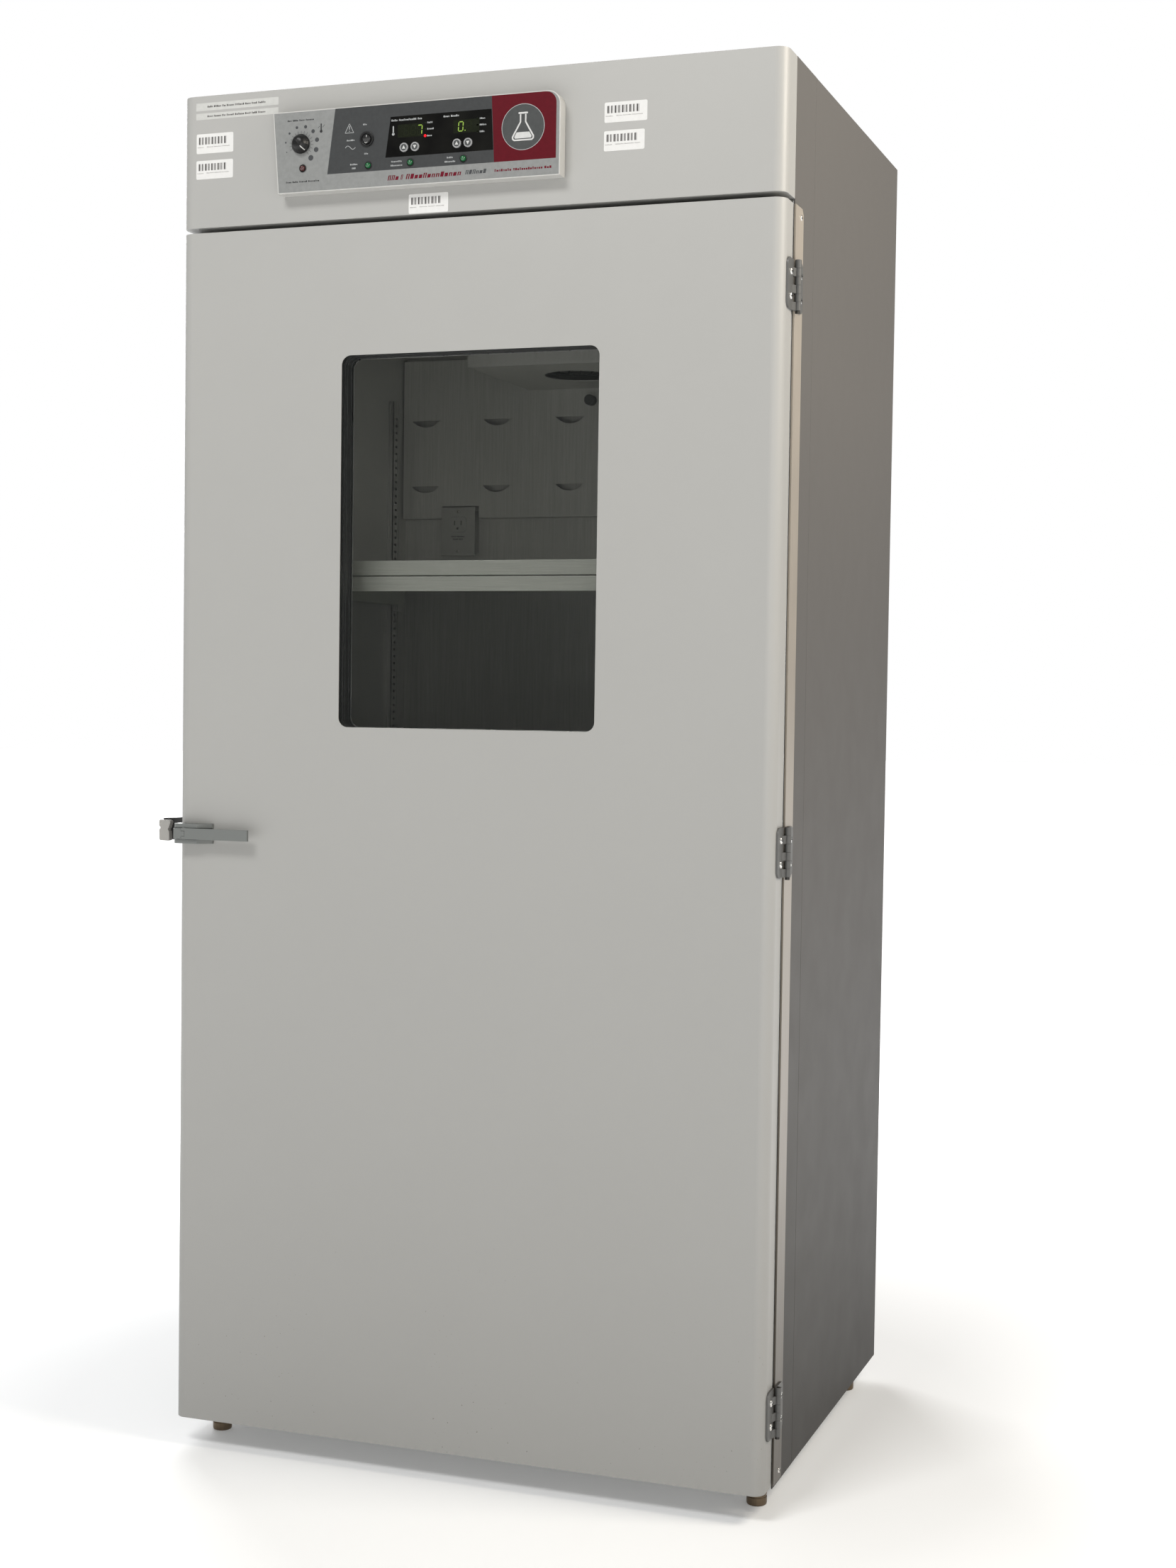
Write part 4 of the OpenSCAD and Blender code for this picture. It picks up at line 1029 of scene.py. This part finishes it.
# ---- Screws with cross recesses ----
def add_cross_screw(bm, centre, axis, r, h, dark):
    """A pan head along an axis. A dark cross in the second mesh paints the shade of its cross recess, which
    is not cut.
    """
    profile = [(0, h), (r * 0.45, h * 0.97), (r * 0.8, h * 0.74), (r * 0.97, h * 0.36), (r, 0), (0, 0)]
    add_lathe(bm, profile, centre, axis, 28)
    arm, half, rise = r * 0.58, r * 0.13, h + 0.04
    for a, b in ((arm, half), (half, arm)):
        if axis == "x":
            add_box(dark, (centre[0] + h - 0.3, centre[1] - a, centre[2] - b),
                    (centre[0] + rise, centre[1] + a, centre[2] + b))
        else:
            add_box(dark, (centre[0] - a, centre[1] + rise, centre[2] - b),
                    (centre[0] + a, centre[1] + h + 0.3, centre[2] + b))


HINGE_LIFTS = (113.0, 944.0, 1768.0)
SCREW_DZ = 17.6
DOOR_SCREWS = (HALF_W + 2.8, 32.6)
CASE_SCREWS = (HALF_W + 5.8, 76.0)
STRIP_SCREWS = (HALF_W + 3.1, 84.0)
LATCH_SCREW_XS = (-448.0, -432.0)
LATCH_SCREW_Y, LATCH_LIFT = -3.0, 942


def hinge_screws():
    """Screws of the hinges, with those of the side strips and of the latch base."""
    for body, name, (x, y), replaced in (("door", "hinge_screws_door", DOOR_SCREWS, "screws_door"),
                                         ("cabinet", "hinge_screws_case", CASE_SCREWS, "screws_cabinet")):
        bm, dark = bmesh.new(), bmesh.new()
        for lift in HINGE_LIFTS:
            for dz in (-SCREW_DZ, SCREW_DZ):
                add_cross_screw(bm, (x, y, DOOR_Z0 + lift + dz), "x", 5.6, 2.2, dark)
        if body == "cabinet":
            for z in (DOOR_Z0 + 14, DOOR_Z1 - 14):
                add_cross_screw(bm, (*STRIP_SCREWS, z), "x", 4.2, 1.7, dark)
        else:
            head = [(0, -1.7), (2.6, -1.6), (3.3, -1.0), (3.4, 0), (0, 0)]
            for screw_x in LATCH_SCREW_XS:
                add_lathe(bm, head, (screw_x, LATCH_SCREW_Y, DOOR_Z0 + LATCH_LIFT), "y", 24)
        link(name, bm, screw_steel, body, sharp=50, replaces=(replaced,))
        # The dark crosses are painted shade of the recesses
        link(name + "_recess", dark, recess_shade, body)


# ---- Strike, feet and rear fittings ----
def strike():
    """The cast strike block: rounded, with a notch in each side at mid-height."""
    low, high = box_mm("strike_block")
    mid = (low.z + high.z) / 2
    outline = []

    def arc(cx, cz, r, start, end, steps=6):
        for i in range(steps + 1):
            a = math.radians(start + (end - start) * i / steps)
            outline.append((cx + r * math.cos(a), cz + r * math.sin(a)))

    right_low = high.x - 2.0
    arc(high.x - 4, high.z - 4, 4, 0, 90)
    arc(low.x + 2.5, high.z - 2.5, 2.5, 90, 180)
    arc(low.x, mid + 4, 2.4, 90, -90)
    arc(low.x + 3, low.z + 3, 2.5, 180, 270)
    arc(right_low - 3, low.z + 3, 3, -90, 0)
    arc(right_low + 2.0, mid + 1.5, 4.2, 235, 135)
    plates("strike_casting", [outline], high.y, low.y, strike_paint, "cabinet", "strike_paint", 1.3,
           ("strike_block",))


FOOT_R = 15.5
FOOT_YS = (98.0, 690.0)
THREAD_TURNS, THREAD_PITCH = 12, 1.6


def feet():
    """Turned levelling feet with a hexagon on top and a threaded stem."""
    low, high = box_mm("levelling_feet")
    r = FOOT_R
    pan = box_mm("base_pan")[0].z
    foot = [(0, 0), (r - 1.5, 0), (r - 0.3, 1.2), (r, 3), (r, 12), (r - 1.0, 13), (r - 1.0, 15.5),
            (r, 16.5), (r, 26), (r - 1.8, 29.5), (9, 31), (0, 31)]
    nut = [(0, pan - 9), (13.6, pan - 9), (14.5, pan - 8.2), (14.5, pan - 1), (13.6, pan - 0.1),
           (0, pan - 0.1)]
    thread = [(0, pan - 1)]
    for i in range(THREAD_TURNS):
        z = pan - 1 + i * THREAD_PITCH
        thread += [(6.0, z), (5.2, z + THREAD_PITCH / 2)]
    thread.append((0, thread[-1][1]))
    bm = bmesh.new()
    for x in (low.x + r, high.x - r):
        for y in FOOT_YS:
            for profile, steps in ((foot, 48), (nut, 6), (thread, 24)):
                add_lathe(bm, profile, (x, y, 0), "z", steps)
    link("feet_turned", bm, foot_look, "cabinet", sharp=30, replaces=("levelling_feet",))


PLATE_PROUD = 1.5


def outlet_details():
    """The screws and the plain label lines on the interior outlet's plate."""
    low, high = box_mm("interior_outlet")
    cx, cz = centre_of("interior_outlet")
    face = low.y + PLATE_PROUD
    bm = bmesh.new()
    for z in (low.z + 8, high.z - 8):
        add_lathe(bm, [(0, -1.2), (2.2, -1.0), (3.1, 0), (0, 0)], (cx, face, z), "y", 24)
    link("outlet_screws", bm, screw_steel, "cabinet", sharp=50)
    lines = word_bars(cx - 13, cx + 13, cz - 9, 2.4, (2, 3))
    lines += word_bars(cx - 10, cx + 10, cz - 14, 2.4, (3, 2))
    plates("outlet_label_lines", lines, face, face - INK, ink_dark, "cabinet", "outlet")


BARBS, BARB_PITCH = 4, 3.6


def rear_details():
    """Inlet blades, hose barbs and the screws that hold the rear panel."""
    cx, cz = centre_of("power_inlet")
    mouth = box_mm("power_inlet")[1].y
    bm = bmesh.new()
    for dx, dz in ((0, 3.2), (-7, -1.6), (7, -1.6)):
        add_box(bm, (cx + dx - 1, mouth - 18, cz + dz - 2), (cx + dx + 1, mouth - 5, cz + dz + 2))
    link("inlet_blades", bm, brass_look, "cabinet", bevel=0.4)
    low, high = box_mm("case_rear_panel")
    bm, dark = bmesh.new(), bmesh.new()
    spots = [(x, z) for x in (low.x + 12, high.x - 12) for z in range(140, 2101, 280)]
    spots += [(x, z) for x in (-230, 0, 230) for z in (low.z + 14, high.z - 14)]
    head = [(0, 0), (4.2, 0), (4.1, 0.7), (3.3, 1.5), (1.8, 1.9), (0, 2.0)]
    for x, z in spots:
        add_lathe(bm, head, (x, high.y, z), "y", 24)
        # Dark crosses that paint the shade of the screws' recesses
        for a, b in ((2.4, 0.5), (0.5, 2.4)):
            add_box(dark, (x - a, high.y + 1.7, z - b), (x + a, high.y + 2.04, z + b))
    link("rear_panel_screws", bm, screw_steel, "cabinet", sharp=50)
    link("rear_screw_recesses", dark, recess_shade, "cabinet")
    bx, bz = centre_of("gas_fitting")
    end = box_mm("gas_fitting")[1].y
    barbs = []
    for i in range(BARBS):
        place = (bx, end - 4.6 - i * BARB_PITCH, bz)
        barbs.append(([(3.0, 0), (3.62, 0.2), (3.0, 3.2), (3.0, 0)], place, "y"))
    lathed("hose_barbs", barbs, brass_look, "cabinet", steps=32)


make_camera()
make_studio()
dress_cad_nodes()
panel_zones()
dial_marks()
switch_marks()
title_marks()
display()
key_triangles()
rocker_marks()
lamps()
knob()
labels()
window_reveal()
gasket()
slotted_standards()
hinge_screws()
strike()
feet()
outlet_details()
rear_details()
